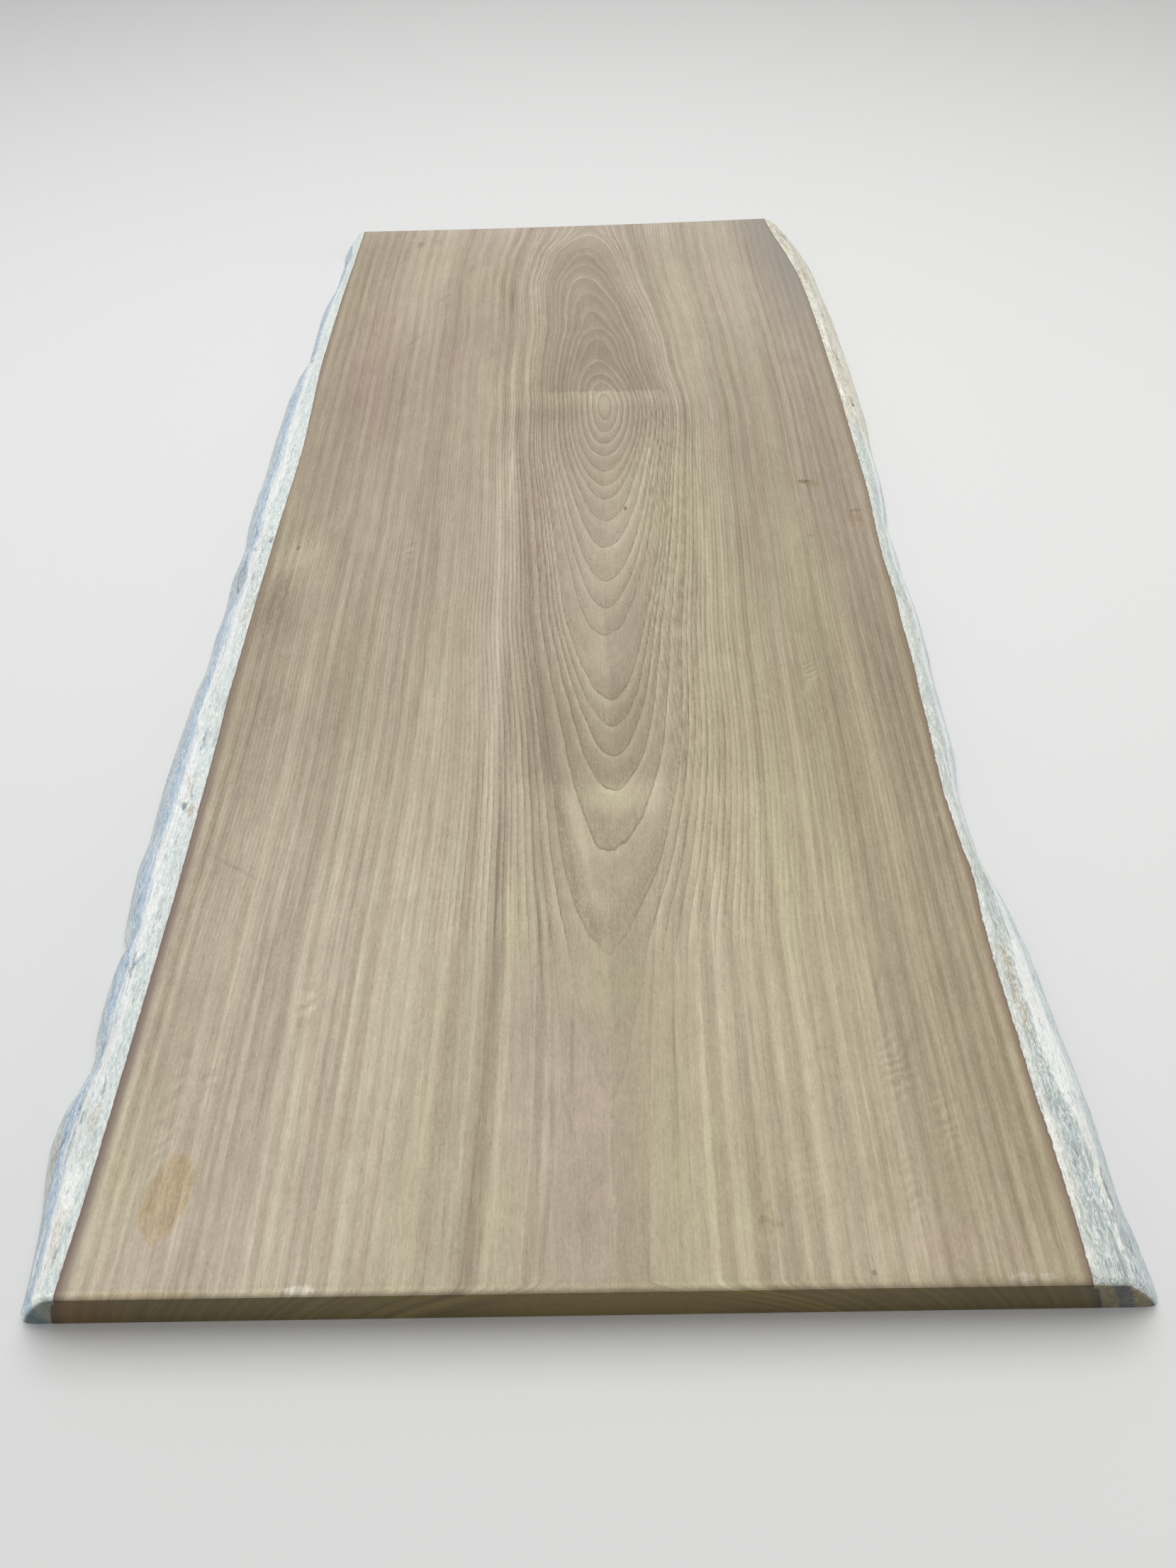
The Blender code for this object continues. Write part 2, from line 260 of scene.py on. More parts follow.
def either(left: np.ndarray, tables: tuple[Table, Table], at: np.ndarray) -> np.ndarray:
    """Read the left one of two tables where left is true, and the right one elsewhere."""
    return np.where(left, smooth_line(tables[0], at), smooth_line(tables[1], at))


def ease(value: np.ndarray, low: float, high: float) -> np.ndarray:
    """Rise from 0 at low to 1 at high along an S-shaped cubic."""
    t = np.clip((value - low) / (high - low), 0.0, 1.0)
    return t * t * (3.0 - 2.0 * t)


def stripe_run(seed: int, first: float, count: int) -> Table:
    """Draw a run of ribbon stripes, dark and pale by turns, uneven in width and strength.

    Args:
        seed: Chooses the run.
        first: Share of the way from the heart line to the arris where the run starts.
        count: How many stripes it has.

    Returns:
        Rows of share and tone, the last one at the arris.
    """
    dice = np.random.default_rng(seed)
    widths = dice.uniform(*STRIPE_WIDTHS, count)
    shares = first + (LAST_STRIPE - first) * np.cumsum(widths) / widths.sum()
    tones = dice.uniform(*STRIPE_TONES, count) * np.where(np.arange(count) % 2, 1.0, -1.0)
    return (*zip(shares.tolist(), tones.tolist()), (1.0, ARRIS_TONE))


def lattice_noise(u: np.ndarray, v: np.ndarray, seed: int) -> np.ndarray:
    """Smooth noise from -1 to 1: random heights on whole-number points, eased between them.

    Args:
        u: First coordinate, in wavelengths.
        v: Second coordinate, in wavelengths.
        seed: Chooses the heights.

    Returns:
        Noise values of the same shape as u and v.
    """
    size = 512
    heights = np.random.default_rng(seed).uniform(-1.0, 1.0, (size, size))
    u, v = np.broadcast_arrays(u, v)
    i, j = np.floor(u).astype(int), np.floor(v).astype(int)
    s, t = u - i, v - j
    s, t = s * s * (3 - 2 * s), t * t * (3 - 2 * t)
    i, j, i_next, j_next = i % size, j % size, (i + 1) % size, (j + 1) % size
    low = heights[i, j] * (1 - s) + heights[i_next, j] * s
    high = heights[i, j_next] * (1 - s) + heights[i_next, j_next] * s
    return low * (1 - t) + high * t


def parabola(before: np.ndarray, corner: np.ndarray, after: np.ndarray, count: int) -> np.ndarray:
    """Points of the parabola that rounds one corner, for a whole row of sections.

    Args:
        before: Start points, rows of out and up.
        corner: The sharp corners that are rounded away.
        after: End points.
        count: Points along each parabola.

    Returns:
        Array of sections x count x 2.
    """
    t = np.linspace(0.0, 1.0, count)[None, :, None]
    before, corner, after = before[:, None], corner[:, None], after[:, None]
    return (1 - t) ** 2 * before + 2 * t * (1 - t) * corner + t * t * after


@dataclass
class SlabDrawing:
    """The slab's sizes and the sections that they give, in millimetres."""

    thickness: float = 62.0
    near_end: float = -1100.0
    near_skew: float = -0.003
    far_end: float = 1080.0
    far_skew: float = 0.037
    far_bow: float = 0.000037
    top_end_round: float = 9.0
    bottom_end_round: float = 2.5
    corner_round: float = 15.0
    knee_round: float = 9.0
    corner_reach: float = 4.0
    belly: tuple[float, float] = (3.0, 2.0)
    push_out: float = 0.75
    push_up: float = 0.55
    middle: tuple[float, float] = (-0.60, 2.07)

    def end_inset(self, y: np.ndarray) -> np.ndarray:
        """Share by which the rounded ends pull a section in: 0 on the slab, 1 at its very end.

        Args:
            y: Places along the slab.

        Returns:
            The share at each place.
        """
        room = np.minimum(y - self.near_end, self.far_end - y)
        sine = np.clip(1 - room / self.top_end_round, 0, 1)
        return 1 - np.sqrt(1 - sine * sine)

    def squeeze(self, height: np.ndarray, y: np.ndarray) -> np.ndarray:
        """Take a section's top and bottom in where the ends are rounded.

        Args:
            height: Heights before.
            y: Places along the slab.

        Returns:
            Heights after.
        """
        inset = self.end_inset(y)
        up = self.bottom_end_round * inset
        down = self.top_end_round * inset
        return up + height * (self.thickness - up - down) / self.thickness

    def real_y(self, x: np.ndarray, y: np.ndarray) -> np.ndarray:
        """Stretch y between the two ends, which run slightly askew and, at the far end, hollow.

        Args:
            x: Places across.
            y: Places along, as if both ends were square.

        Returns:
            Real places along.
        """
        share = (y - self.near_end) / (self.far_end - self.near_end)
        near = self.near_end + self.near_skew * x
        far = self.far_end + self.far_skew * x + self.far_bow * x * x
        return near + share * (far - near)

    def placed(self, x: np.ndarray, y: np.ndarray, z: np.ndarray) -> np.ndarray:
        """Points in metres with the slab's middle over the origin.

        Args:
            x: Places across, in the drawing.
            y: Places along.
            z: Heights.

        Returns:
            Array whose last axis is x, y, z.
        """
        x, y, z = np.broadcast_arrays(x, y, z)
        points = np.stack((x - self.middle[0], self.real_y(x, y) - self.middle[1], z), axis=-1)
        return points * MM

    def edge_curve(self, side: Side, y: np.ndarray) -> tuple[np.ndarray, np.ndarray]:
        """Smooth section of one natural edge, from the arris down to the underside.

        A nearly level shelf turns over a parabolic knee into a slope with a slight belly, and a
        second parabola rounds the lower corner. Lumps then push it out along the slope's normal.

        Args:
            side: Which edge.
            y: Places along the slab.

        Returns:
            Sections x points x 2 (out from the arris, up) and the width of each edge.
        """
        lines = LINES[side]
        width = np.abs(smooth_line(lines.outer, y) - smooth_line(lines.arris, y))
        start = np.stack((0 * y, self.thickness + 0 * y), axis=-1)
        shelf = smooth_line(lines.shelf_width, y)
        knee = np.stack((shelf, self.thickness - smooth_line(lines.shelf_drop, y)), axis=-1)
        corner = np.stack((width + self.corner_reach, 0 * y), axis=-1)
        level = (start - knee) / np.linalg.norm(start - knee, axis=-1, keepdims=True)
        fall = (corner - knee) / np.linalg.norm(corner - knee, axis=-1, keepdims=True)
        knee_arc = parabola(knee + level * self.knee_round, knee, knee + fall * self.knee_round, 9)
        low_start = corner - fall * self.corner_round
        low_arc = parabola(low_start, corner, corner - (self.corner_round, 0), 13)
        belly = 0.5 * (knee_arc[:, -1] + low_start) + self.belly
        slope = parabola(knee_arc[:, -1], belly, low_start, 7)[:, 1:-1]
        points = np.concatenate((start[:, None], knee_arc, slope, low_arc), axis=1)

        across = points[:, :, 0] / (width + self.corner_reach)[:, None]
        above = points[:, :, 1] / self.thickness
        push = np.zeros_like(across)
        for at, place, length, spread, height in LUMPS[side]:
            near = np.clip(np.abs(y - at) / length, 0, 1)
            along = np.cos(0.5 * math.pi * near)[:, None] ** 2
            push += height * along * np.exp(-((across - place) / spread) ** 2)
        push *= np.minimum(1, above * 4) * np.minimum(1, across * 6)
        points[:, :, 0] += push * self.push_out
        points[:, :, 1] += push * self.push_up
        return points, width


@dataclass
class EdgeSurface:
    """Fine surface of one natural edge: a grid of sections by even steps across."""

    drawing: SlabDrawing
    side: Side
    columns: int
    pebble: float = 0.55
    fibre: float = 0.40
    flute: float = 0.85
    chip: float = 0.9

    def stepped(self, y: np.ndarray) -> tuple[np.ndarray, np.ndarray, np.ndarray]:
        """Share each section's curve into equal steps of its own length.

        Args:
            y: Places along the slab.

        Returns:
            Points (sections x columns x 2), distance out along the surface, and edge widths.
        """
        curve, width = self.drawing.edge_curve(self.side, y)
        pieces = np.linalg.norm(np.diff(curve, axis=1), axis=-1)
        length = np.concatenate((np.zeros((len(y), 1)), np.cumsum(pieces, axis=1)), axis=1)
        wanted = length[:, -1:] * np.linspace(0, 1, self.columns)[None]
        out = np.zeros((len(y), self.columns, 2))
        for k in range(curve.shape[1] - 1):
            share = (wanted - length[:, k:k + 1]) / np.maximum(pieces[:, k:k + 1], 1e-9)
            here = (share > 0) if k else (share >= 0)
            start, run = curve[:, k][:, None], (curve[:, k + 1] - curve[:, k])[:, None]
            point = start + np.clip(share, 0, 1)[..., None] * run
            out = np.where(here[..., None], point, out)
        return out, wanted, width

    def height_field(self, y: np.ndarray, out: np.ndarray) -> np.ndarray:
        """Fine relief in millimetres over the edge's surface.

        Pebbly noise and long fibres are strongest on the rough shelf; the slope carries long
        flutes. Each scar is a Gaussian ridge or groove along a slanted line, and the facet is a
        smooth patch sunk behind a sharp border.

        Args:
            y: Places along the slab, as a column.
            out: Distance out from the arris along the surface.

        Returns:
            Heights along the surface normal.
        """
        seed = 40 if self.side is Side.LEFT else 60
        shelf = smooth_line(LINES[self.side].shelf_width, y)
        rough = 1 - 0.72 * ease(out - shelf, -2, 16)
        swirl = 2.2 * lattice_noise(y / 46, out / 22, seed)
        pebbles = lattice_noise(y / 8.5, (out + swirl) / 7.6, seed + 1)
        pebbles = pebbles + 0.6 * lattice_noise(y / 15, out / 11, seed + 2)
        fibres = 1 - 2 * np.abs(lattice_noise(y / 38, (out + 2 * swirl) / 7.2, seed + 3))
        flutes = lattice_noise(y / 95, (out + swirl) / 12, seed + 4)
        broad = lattice_noise(y / 60, out / 34, seed + 5)
        height = rough * (self.pebble * pebbles + self.fibre * fibres)
        height = height + (1.2 - rough) * self.flute * flutes + 0.5 * broad

        if self.side is Side.LEFT:
            border = smooth_line(FACET_BORDER, y)
            along = ease(y, -470, -455) * (1 - ease(y, -396, -386))
            inside = along * (1 - ease(out - border, -0.8, 1.6))
            lip = along * np.exp(-(((out - border) - 3.5) / 2.4) ** 2)
            height = height * (1 - 0.85 * inside) - FACET_DROP * inside + 0.9 * lip

        for at, place, length, spread, rise, slant in SCARS[self.side]:
            along = y - at
            line = out - place - slant * along
            mark = np.exp(-(along / length) ** 2 - (line / spread) ** 2)
            height = height + rise * mark
        return height

    def build(self, y: np.ndarray) -> tuple[np.ndarray, np.ndarray]:
        """Points of the edge and their relief.

        The relief moves each point along the section's own normal, fading in just below the
        arris and out on the underside; the arris itself only wanders sideways a little.

        Args:
            y: Places along the slab, rising.

        Returns:
            Points in metres (sections x columns x 3) and relief heights (sections x columns).
        """
        drawing = self.drawing
        section, out, width = self.stepped(y)
        column = y[:, None]
        relief = self.height_field(column, out)
        fade = ease(out, 0.5, 5) * (1 - ease(out - out[:, -1:], -16, -8))
        relief = relief * fade
        run = np.gradient(section, axis=1)
        normal = np.stack((-run[..., 1], run[..., 0]), axis=-1)
        normal /= np.maximum(np.linalg.norm(normal, axis=-1, keepdims=True), 1e-9)
        section = section + normal * relief[..., None]
        chips = lattice_noise(column / 9, 0 * column, 81 + self.side.value)
        chips = chips + 0.7 * lattice_noise(column / 27, 0 * column, 84 + self.side.value)
        section[..., 0] += self.chip * chips * np.exp(-out / 9)
        top = drawing.thickness - 0.35 * ease(out, 0, 3)
        section[..., 1] = np.clip(section[..., 1], 0, top)

        across = np.clip(section[..., 0] / (width[:, None] + drawing.corner_reach), 0, 1)
        move_in = np.interp(across, (0, 0.45, 0.7, 1), (0.05, 0.35, 0.85, 0.8))
        inset = drawing.end_inset(column)
        arris = smooth_line(LINES[self.side].arris, column)
        outward = section[..., 0] - move_in * drawing.top_end_round * inset
        x = arris + self.side.value * outward
        z = drawing.squeeze(section[..., 1], column)
        return drawing.placed(x, column, z), relief


@dataclass
class Growth:
    """How the tree grew through the slab: heart line, ring number, stripe share and sapwood."""

    drawing: SlabDrawing
    pith_depth: float = 200.0
    straight: tuple[Table, Table] = (
        ((-1110, -435), (-600, -433), (0, -436.5), (500, -442), (1110, -438)),
        ((-1110, 425), (-500, 429), (0, 443), (450, 451.5), (1110, 452)),
    )
    flare: tuple[Table, Table] = (
        ((-1110, 0.07), (-800, 0.048), (-500, 0.024), (-200, 0), (1110, 0)),
        ((-1110, 0.02), (-800, 0.012), (-600, 0), (1110, 0)),
    )
    side_ring: float = 4.6
    deep_ring: float = 900.0
    deep_count: int = 40
    widest: float = 700.0
    near_section: float = -1050.0
    reach: np.ndarray = field(init=False)
    ring_count: np.ndarray = field(init=False)

    def __post_init__(self) -> None:
        """Lay the ring tips out along the slab and number the rings by their size."""
        near = [(near_tip, half ** 2) for near_tip, _, half in RINGS]
        far = [(far_tip, half ** 2) for _, far_tip, half in RINGS if far_tip < 1200]
        ends = [(-1110, 142.5 ** 2), (-950, 140 ** 2), (325, 0)]
        self.reach = np.array(sorted(near + far + ends))
        halves = [0] + [half for _, _, half in RINGS]
        outer = np.arange(halves[-1] + self.side_ring, self.widest, self.side_ring)
        deep = -self.deep_ring * np.arange(self.deep_count, 0, -1)
        sizes = np.concatenate((deep, np.concatenate((halves, outer)) ** 2))
        self.ring_count = np.stack((sizes, np.arange(len(sizes)) - float(self.deep_count)), axis=-1)

    def across(self, x: np.ndarray, y: np.ndarray, below: np.ndarray) -> tuple[np.ndarray, ...]:
        """Squared ring size and its parts, all in millimetres.

        The size is the squared offset from the heart line, plus what the stem's taper adds along
        the slab (fading towards the arrises), less what depth takes off: the pith lies below.

        Args:
            x: Places across.
            y: Places along.
            below: Depths under the top face.

        Returns:
            Offset from the heart line, half width of the board on that side, and squared size.
        """
        heart = smooth_line(HEART_LINE, y)
        offset = x - heart
        half = np.abs(either(offset < 0, self.straight, y) - heart)
        share = np.clip(np.abs(offset) / half, 0, 1)
        along = smooth_line(self.reach, y) * (1 - share ** 2) ** 2
        deeper = (self.pith_depth - below) ** 2 - self.pith_depth ** 2
        return offset, half, offset ** 2 + along + deeper

    def stripe_share(self, x: np.ndarray, y: np.ndarray, below: np.ndarray) -> np.ndarray:
        """Ring size as a share of the board's half width, spread a little at the near end.

        Args:
            x: Places across.
            y: Places along.
            below: Depths under the top face.

        Returns:
            The share, 0 at the heart line and 1 at the arris.
        """
        offset, half, size = self.across(x, y, below)
        grain = np.sqrt(np.maximum(size, 0)) / half
        spread = np.exp(-((grain - 0.47) / 0.17) ** 2)
        return grain - either(offset < 0, self.flare, y) * spread

    def abreast(self, offset: np.ndarray, grain: np.ndarray) -> np.ndarray:
        """How far from the heart line the same stripe crosses the section near the near end.

        Args:
            offset: Distance from the heart line, whose sign says which side.
            grain: The stripe, as a share of the way to the arris.

        Returns:
            Distances in millimetres.
        """
        reach = np.linspace(0, 260, 261)
        y = np.full_like(reach, self.near_section)
        heart = smooth_line(HEART_LINE, y)
        flat = np.zeros_like(reach)
        left = np.interp(grain, self.stripe_share(heart - reach - 0.01, y, flat), reach)
        right = np.interp(grain, self.stripe_share(heart + reach + 0.01, y, flat), reach)
        return np.where(offset < 0, left, right)

    def spread(self, points: np.ndarray) -> dict[str, np.ndarray]:
        """Work out the wood's own coordinates at points given in metres.

        Args:
            points: Rows of x, y, z.

        Returns:
            Arrays named ring, ring_width, grain, abreast, offset, sap and rim.
        """
        drawing = self.drawing
        x = points[:, 0] / MM + drawing.middle[0]
        y = points[:, 1] / MM + drawing.middle[1]
        below = drawing.thickness - points[:, 2] / MM
        offset, _, size = self.across(x, y, below)
        ring = smooth_line(self.ring_count, size)
        steps = [
            smooth_line(self.ring_count, self.across(x + dx, y + dy, below + dz)[2]) - ring
            for dx, dy, dz in ((1, 0, 0), (0, 1, 0), (0, 0, 1))
        ]
        on_top = below < 0.5
        rate = np.sqrt(steps[0] ** 2 + steps[1] ** 2 + np.where(on_top, 0, steps[2] ** 2))
        grain = self.stripe_share(x, y, below)
        grain = grain + 0.0035 * lattice_noise(9 * grain, 0.0022 * y, 21)

        left = offset < 0
        arris = either(left, (LEFT_LINES.arris, RIGHT_LINES.arris), y)
        outer = either(left, (LEFT_LINES.outer, RIGHT_LINES.outer), y)
        reach = np.abs(arris - smooth_line(HEART_LINE, y))
        deeper = self.pith_depth ** 2 - (self.pith_depth - below) ** 2
        sap = np.abs(offset) - np.sqrt(reach ** 2 + deeper)
        rim = np.clip((np.abs(x) - np.abs(arris)) / np.abs(outer - arris), 0, 1)
        width = np.clip(1 / np.maximum(rate, 0.01), 2, 90)
        abreast = self.abreast(offset, grain)
        return dict(
            ring=ring, ring_width=width, grain=grain, abreast=abreast, offset=offset, sap=sap, rim=rim
        )


@dataclass
class PointStore:
    """Gathers points, their relief, and the faces between them."""

    points: list[np.ndarray] = field(default_factory=list)
    relief: list[np.ndarray] = field(default_factory=list)
    quads: list[np.ndarray] = field(default_factory=list)
    triangles: list[np.ndarray] = field(default_factory=list)
    count: int = 0

    def add(self, points: np.ndarray, relief: np.ndarray | None = None) -> np.ndarray:
        """Store a block of points.

        Args:
            points: Array whose last axis is x, y, z.
            relief: Relief heights, or None where the surface is plain.

        Returns:
            The points' numbers, in the block's own shape.
        """
        shape = points.shape[:-1]
        size = int(np.prod(shape))
        self.points.append(points.reshape(-1, 3))
        self.relief.append(np.zeros(size) if relief is None else relief.reshape(-1))
        ids = np.arange(self.count, self.count + size).reshape(shape)
        self.count += size
        return ids

    def skin(self, ids: np.ndarray) -> None:
        """Cover a grid of point numbers with four-sided faces."""
        faces = np.stack((ids[:-1, :-1], ids[1:, :-1], ids[1:, 1:], ids[:-1, 1:]), axis=-1)
        self.quads.append(faces.reshape(-1, 4))

    def lace(self, first: np.ndarray, second: np.ndarray, axis: int) -> None:
        """Fill the gap between two rows of points with triangles.

        Both rows rise along one axis. The steps of both are sorted by place, and each step makes
        one triangle with the point that the other row has reached.

        Args:
            first: Point numbers of one row.
            second: Point numbers of the other row.
            axis: 0 to go by x, 1 to go by y.
        """
        place = np.concatenate(self.points)[:, axis]
        steps = np.concatenate((place[first[1:]], place[second[1:]]))
        on_first = np.arange(len(steps)) < len(first) - 1
        order = np.argsort(steps, kind="stable")
        on_first = on_first[order]
        i = np.cumsum(on_first)
        j = np.cumsum(~on_first)
        before_i = np.where(on_first, i - 1, i)
        third = np.where(on_first, first[i], second[np.maximum(j - 1, 0)])
        faces = np.stack((first[before_i], third, second[j]), axis=-1)
        a, b, c = faces.T
        self.triangles.append(faces[(a != b) & (b != c) & (a != c)])


def area_values(points: np.ndarray, grain: np.ndarray) -> tuple[np.ndarray, np.ndarray]:
    """Broad light and dark areas at each point, on the upper surface only.

    Named areas are Gaussian hills; smooth noise adds clouds, lanes along the grain and blotches.

    Args:
        points: Rows of x, y, z in metres.
        grain: Share of the way from the heart line to the arris at each point.

    Returns:
        Tone and hue shift at each point.
    """
    x, y = points[:, 0], points[:, 1]
    tone = 0.40 * lattice_noise(5.5 * x, 3.0 * y, 31)
    tone += 0.90 * lattice_noise(15.0 * grain, 2.4 * y, 32)
    tone += 0.30 * lattice_noise(30.0 * grain, 21.0 * y, 33)
    hue = 0.80 * lattice_noise(7.0 * x, 2.6 * y, 34)
    hue += 0.45 * lattice_noise(24.0 * grain, 4.0 * y, 35)
    for area in AREAS:
        hill = np.exp(-((x - area.x) / area.half_x) ** 2 - ((y - area.y) / area.half_y) ** 2)
        tone += area.tone * hill
        hue += area.hue * hill
    upper = ease(points[:, 2], 0.040, 0.058)
    return upper * tone, upper * hue


@dataclass
class PlankBuilder:
    """Builds the closed fine mesh of the whole plank and its surface data."""

    drawing: SlabDrawing
    growth: Growth
    edge_step: float = 3.5
    face_step: float = 8.0
    under_step: float = 32.0
    edge_columns: int = 31
    round_rows: int = 8
    cap_rows: int = 9
    guard: float = 1.5
    heart_band: float = 150.0
    heart_step: float = 4.5
    side_step: float = 9.0
    crisp_angle: float = 50.0
    face_left: float = -436.0
    face_right: float = 438.0
    heart: float = 45.0

    def stations(self, step: float) -> np.ndarray:
        """Places of the sections: close together round both ends, even steps between.

        Args:
            step: About how far apart the even ones are.

        Returns:
            Places along the slab, rising.
        """
        d = self.drawing
        angles = np.linspace(0.5 * math.pi, 0, self.round_rows)
        near = d.near_end + d.top_end_round * (1 - np.sin(angles))
        far = d.far_end - (near - d.near_end)
        first = near[-1] + self.guard
        last = far[-1] - self.guard
        count = int(round((last - first) / step))
        return np.concatenate((near, np.linspace(first, last, count + 1), far[::-1]))

    def face_shares(self) -> np.ndarray:
        """Places of the columns across a flat face, finest over the heart's ovals.

        Returns:
            Shares of the way from the left side line to the right one, without the two ends.
        """
        left, right = self.face_left, self.face_right
        low, high = self.heart - self.heart_band, self.heart + self.heart_band
        places = np.concatenate((
            np.linspace(left, low, int((low - left) / self.side_step), endpoint=False),
            np.linspace(low, high, int((high - low) / self.heart_step), endpoint=False),
            np.linspace(high, right, int((right - high) / self.side_step) + 1),
        ))
        return (places[1:-1] - left) / (right - left)

    def flat_face(
        self, store: PointStore, borders: Sequence[np.ndarray], step: float, height: float
    ) -> np.ndarray:
        """Span a flat face between its two side lines and join it to them.

        Args:
            store: Where the points go.
            borders: Numbers of the edge points along the left and the right side line.
            step: Distance between the face's own sections.
            height: The face's height before the ends are rounded.

        Returns:
            The face's point numbers, sections x columns.
        """
        y, y_edge = self.stations(step), self.stations(self.edge_step)
        stored = np.concatenate(store.points)
        left, right = (
            np.interp(y, y_edge, stored[line, 0] / MM + self.drawing.middle[0]) for line in borders
        )
        x = left[:, None] + self.face_shares()[None] * (right - left)[:, None]
        column = y[:, None]
        z = self.drawing.squeeze(np.full_like(x, height), column)
        ids = store.add(self.drawing.placed(x, column, z))
        store.skin(ids)
        store.lace(borders[0], ids[:, 0], axis=1)
        store.lace(borders[1], ids[:, -1], axis=1)
        return ids

    def cap(self, store: PointStore, upper: np.ndarray, lower: np.ndarray, y: float) -> None:
        """Close one end with upright rows between its upper and lower outlines.

        Args:
            store: Where the points go.
            upper: Point numbers from the left outermost point over the top to the right one.
            lower: Point numbers between the same two points along the underside.
            y: The end's place along the slab.
        """
        d = self.drawing
        points = np.concatenate(store.points)
        top = points[upper[1:-1]]
        floor_z = np.interp(top[:, 0], points[lower, 0], points[lower, 2])
        share = np.linspace(0, 1, self.cap_rows + 1)[1:-1, None]
        z = top[None, :, 2] + share * (floor_z - top[:, 2])[None]
        x = np.broadcast_to(top[None, :, 0], z.shape)
        rows = d.placed(x / MM + d.middle[0], np.full(z.shape, y), z / MM)
        rows[..., 0] = x
        rows[..., 2] = z
        ids = store.add(rows)
        ids = np.vstack((upper[None, 1:-1], ids))
        store.skin(ids)
        for edge, column in ((upper[0], ids[:, 0]), (upper[-1], ids[:, -1])):
            fan = np.stack((np.full(len(column) - 1, edge), column[:-1], column[1:]), axis=-1)
            store.triangles.append(fan)
        bottom = np.concatenate((upper[:1], ids[-1], upper[-1:]))
        store.lace(bottom, lower, axis=0)

    def build(self) -> bpy.types.Object:
        """Make the plank's mesh object with its surface data.

        Returns:
            The finished object at the origin.
        """
        d = self.drawing
        store = PointStore()
        edges = []
        for side in Side:
            points, relief = EdgeSurface(d, side, self.edge_columns).build(self.stations(self.edge_step))
            edges.append(store.add(points, relief))
            store.skin(edges[-1])
        top = self.flat_face(store, [edge[:, 0] for edge in edges], self.face_step, d.thickness)
        under = self.flat_face(store, [edge[:, -1] for edge in edges], self.under_step, 0)

        stored = np.concatenate(store.points)
        for end, place in ((0, d.near_end), (-1, d.far_end)):
            left, right = (edge[end] for edge in edges)
            far_left = int(np.argmin(stored[left, 0]))
            far_right = int(np.argmax(stored[right, 0]))
            upper = np.concatenate((left[far_left::-1], top[end], right[:far_right + 1]))
            lower = np.concatenate((left[far_left:], under[end], right[:far_right - 1:-1]))
            self.cap(store, upper, lower, place)

        arris = np.concatenate([edge[:, 0] for edge in edges])
        edge_skin = np.concatenate([edge[:, 1:].reshape(-1) for edge in edges])
        return self.finish_mesh(store, arris, edge_skin)

    def finish_mesh(
        self, store: PointStore, arris: np.ndarray, edge_skin: np.ndarray
    ) -> bpy.types.Object:
        """Put the gathered points and faces into a mesh and shade it.

        Args:
            store: The gathered surface.
            arris: Numbers of the points along both arrises, whose edges stay crisp.
            edge_skin: Numbers of the points on the natural edges, which are sapwood all over.

        Returns:
            The mesh object.
        """
        points = np.concatenate(store.points)
        low, high = (np.array(corner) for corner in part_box("plank"))
        points = np.clip(points, low, high)
        faces = np.concatenate(store.quads).tolist() + np.concatenate(store.triangles).tolist()
        mesh = bpy.data.meshes.new("plank_wood")
        mesh.from_pydata(points, [], faces)
        shape = bmesh.new()
        shape.from_mesh(mesh)
        bmesh.ops.recalc_face_normals(shape, faces=shape.faces)
        shape.to_mesh(mesh)
        shape.free()

        data = self.growth.spread(points)
        data["relief"] = np.concatenate(store.relief)
        data["area_tone"], data["area_hue"] = area_values(points, data["grain"])
        data["sap"][edge_skin] = np.maximum(data["sap"][edge_skin], 2)
        for name, values in data.items():
            layer = mesh.attributes.new(name, "FLOAT", "POINT")
            layer.data.foreach_set("value", values.astype(np.float32))
        layer = mesh.attributes.new("spot", "FLOAT_VECTOR", "POINT")
        layer.data.foreach_set("vector", points.astype(np.float32).reshape(-1))
        mesh.shade_smooth()
        mesh.set_sharp_from_angle(angle=math.radians(self.crisp_angle))
        ends = np.zeros(len(mesh.edges) * 2, dtype=np.int32)
        mesh.edges.foreach_get("vertices", ends)
        on_arris = np.zeros(len(points), dtype=bool)
        on_arris[arris] = True
        crisp = on_arris[ends[0::2]] & on_arris[ends[1::2]]
        layer = mesh.attributes.get("sharp_edge") or mesh.attributes.new("sharp_edge", "BOOLEAN", "EDGE")
        sharp = np.zeros(len(mesh.edges), dtype=bool)
        layer.data.foreach_get("value", sharp)
        layer.data.foreach_set("value", sharp | crisp)
        mesh.update()
        plank = bpy.data.objects.new("plank_wood", mesh)
        bpy.context.scene.collection.objects.link(plank)
        return plank


@dataclass(frozen=True)
class Area:
    """A soft-edged area of the top face: middle and half sizes (metres), tone and hue shift."""

    x: float
    y: float
    half_x: float
    half_y: float
    tone: float
    hue: float


@dataclass(frozen=True)
class Mark:
    """A small mark seen from above: middle and half sizes (metres), and how strong it is.

    The lean is metres in X per metre of Y, and the last number says how ragged its border is.
    """

    x: float
    y: float
    half_x: float
    half_y: float
    amount: float
    lean: float = 0.0
    ragged: float = 0.0


def marks(*rows: tuple[float, ...]) -> tuple[Mark, ...]:
    """Make a mark of each row of numbers."""
    return tuple(Mark(*row) for row in rows)


def linear(red: float, green: float, blue: float) -> Colour:
    """Turn a colour picked on screen, 0 to 255, into the linear values that shaders take.

    Args:
        red: Red as seen on screen.
        green: Green.
        blue: Blue.

    Returns:
        The linear colour with a fourth number of 1, fully opaque.
    """
    shares = np.array((red, green, blue)) / 255.0
    values = np.where(shares <= 0.04045, shares / 12.92, ((shares + 0.055) / 1.055) ** 2.4)
    return (float(values[0]), float(values[1]), float(values[2]), 1.0)


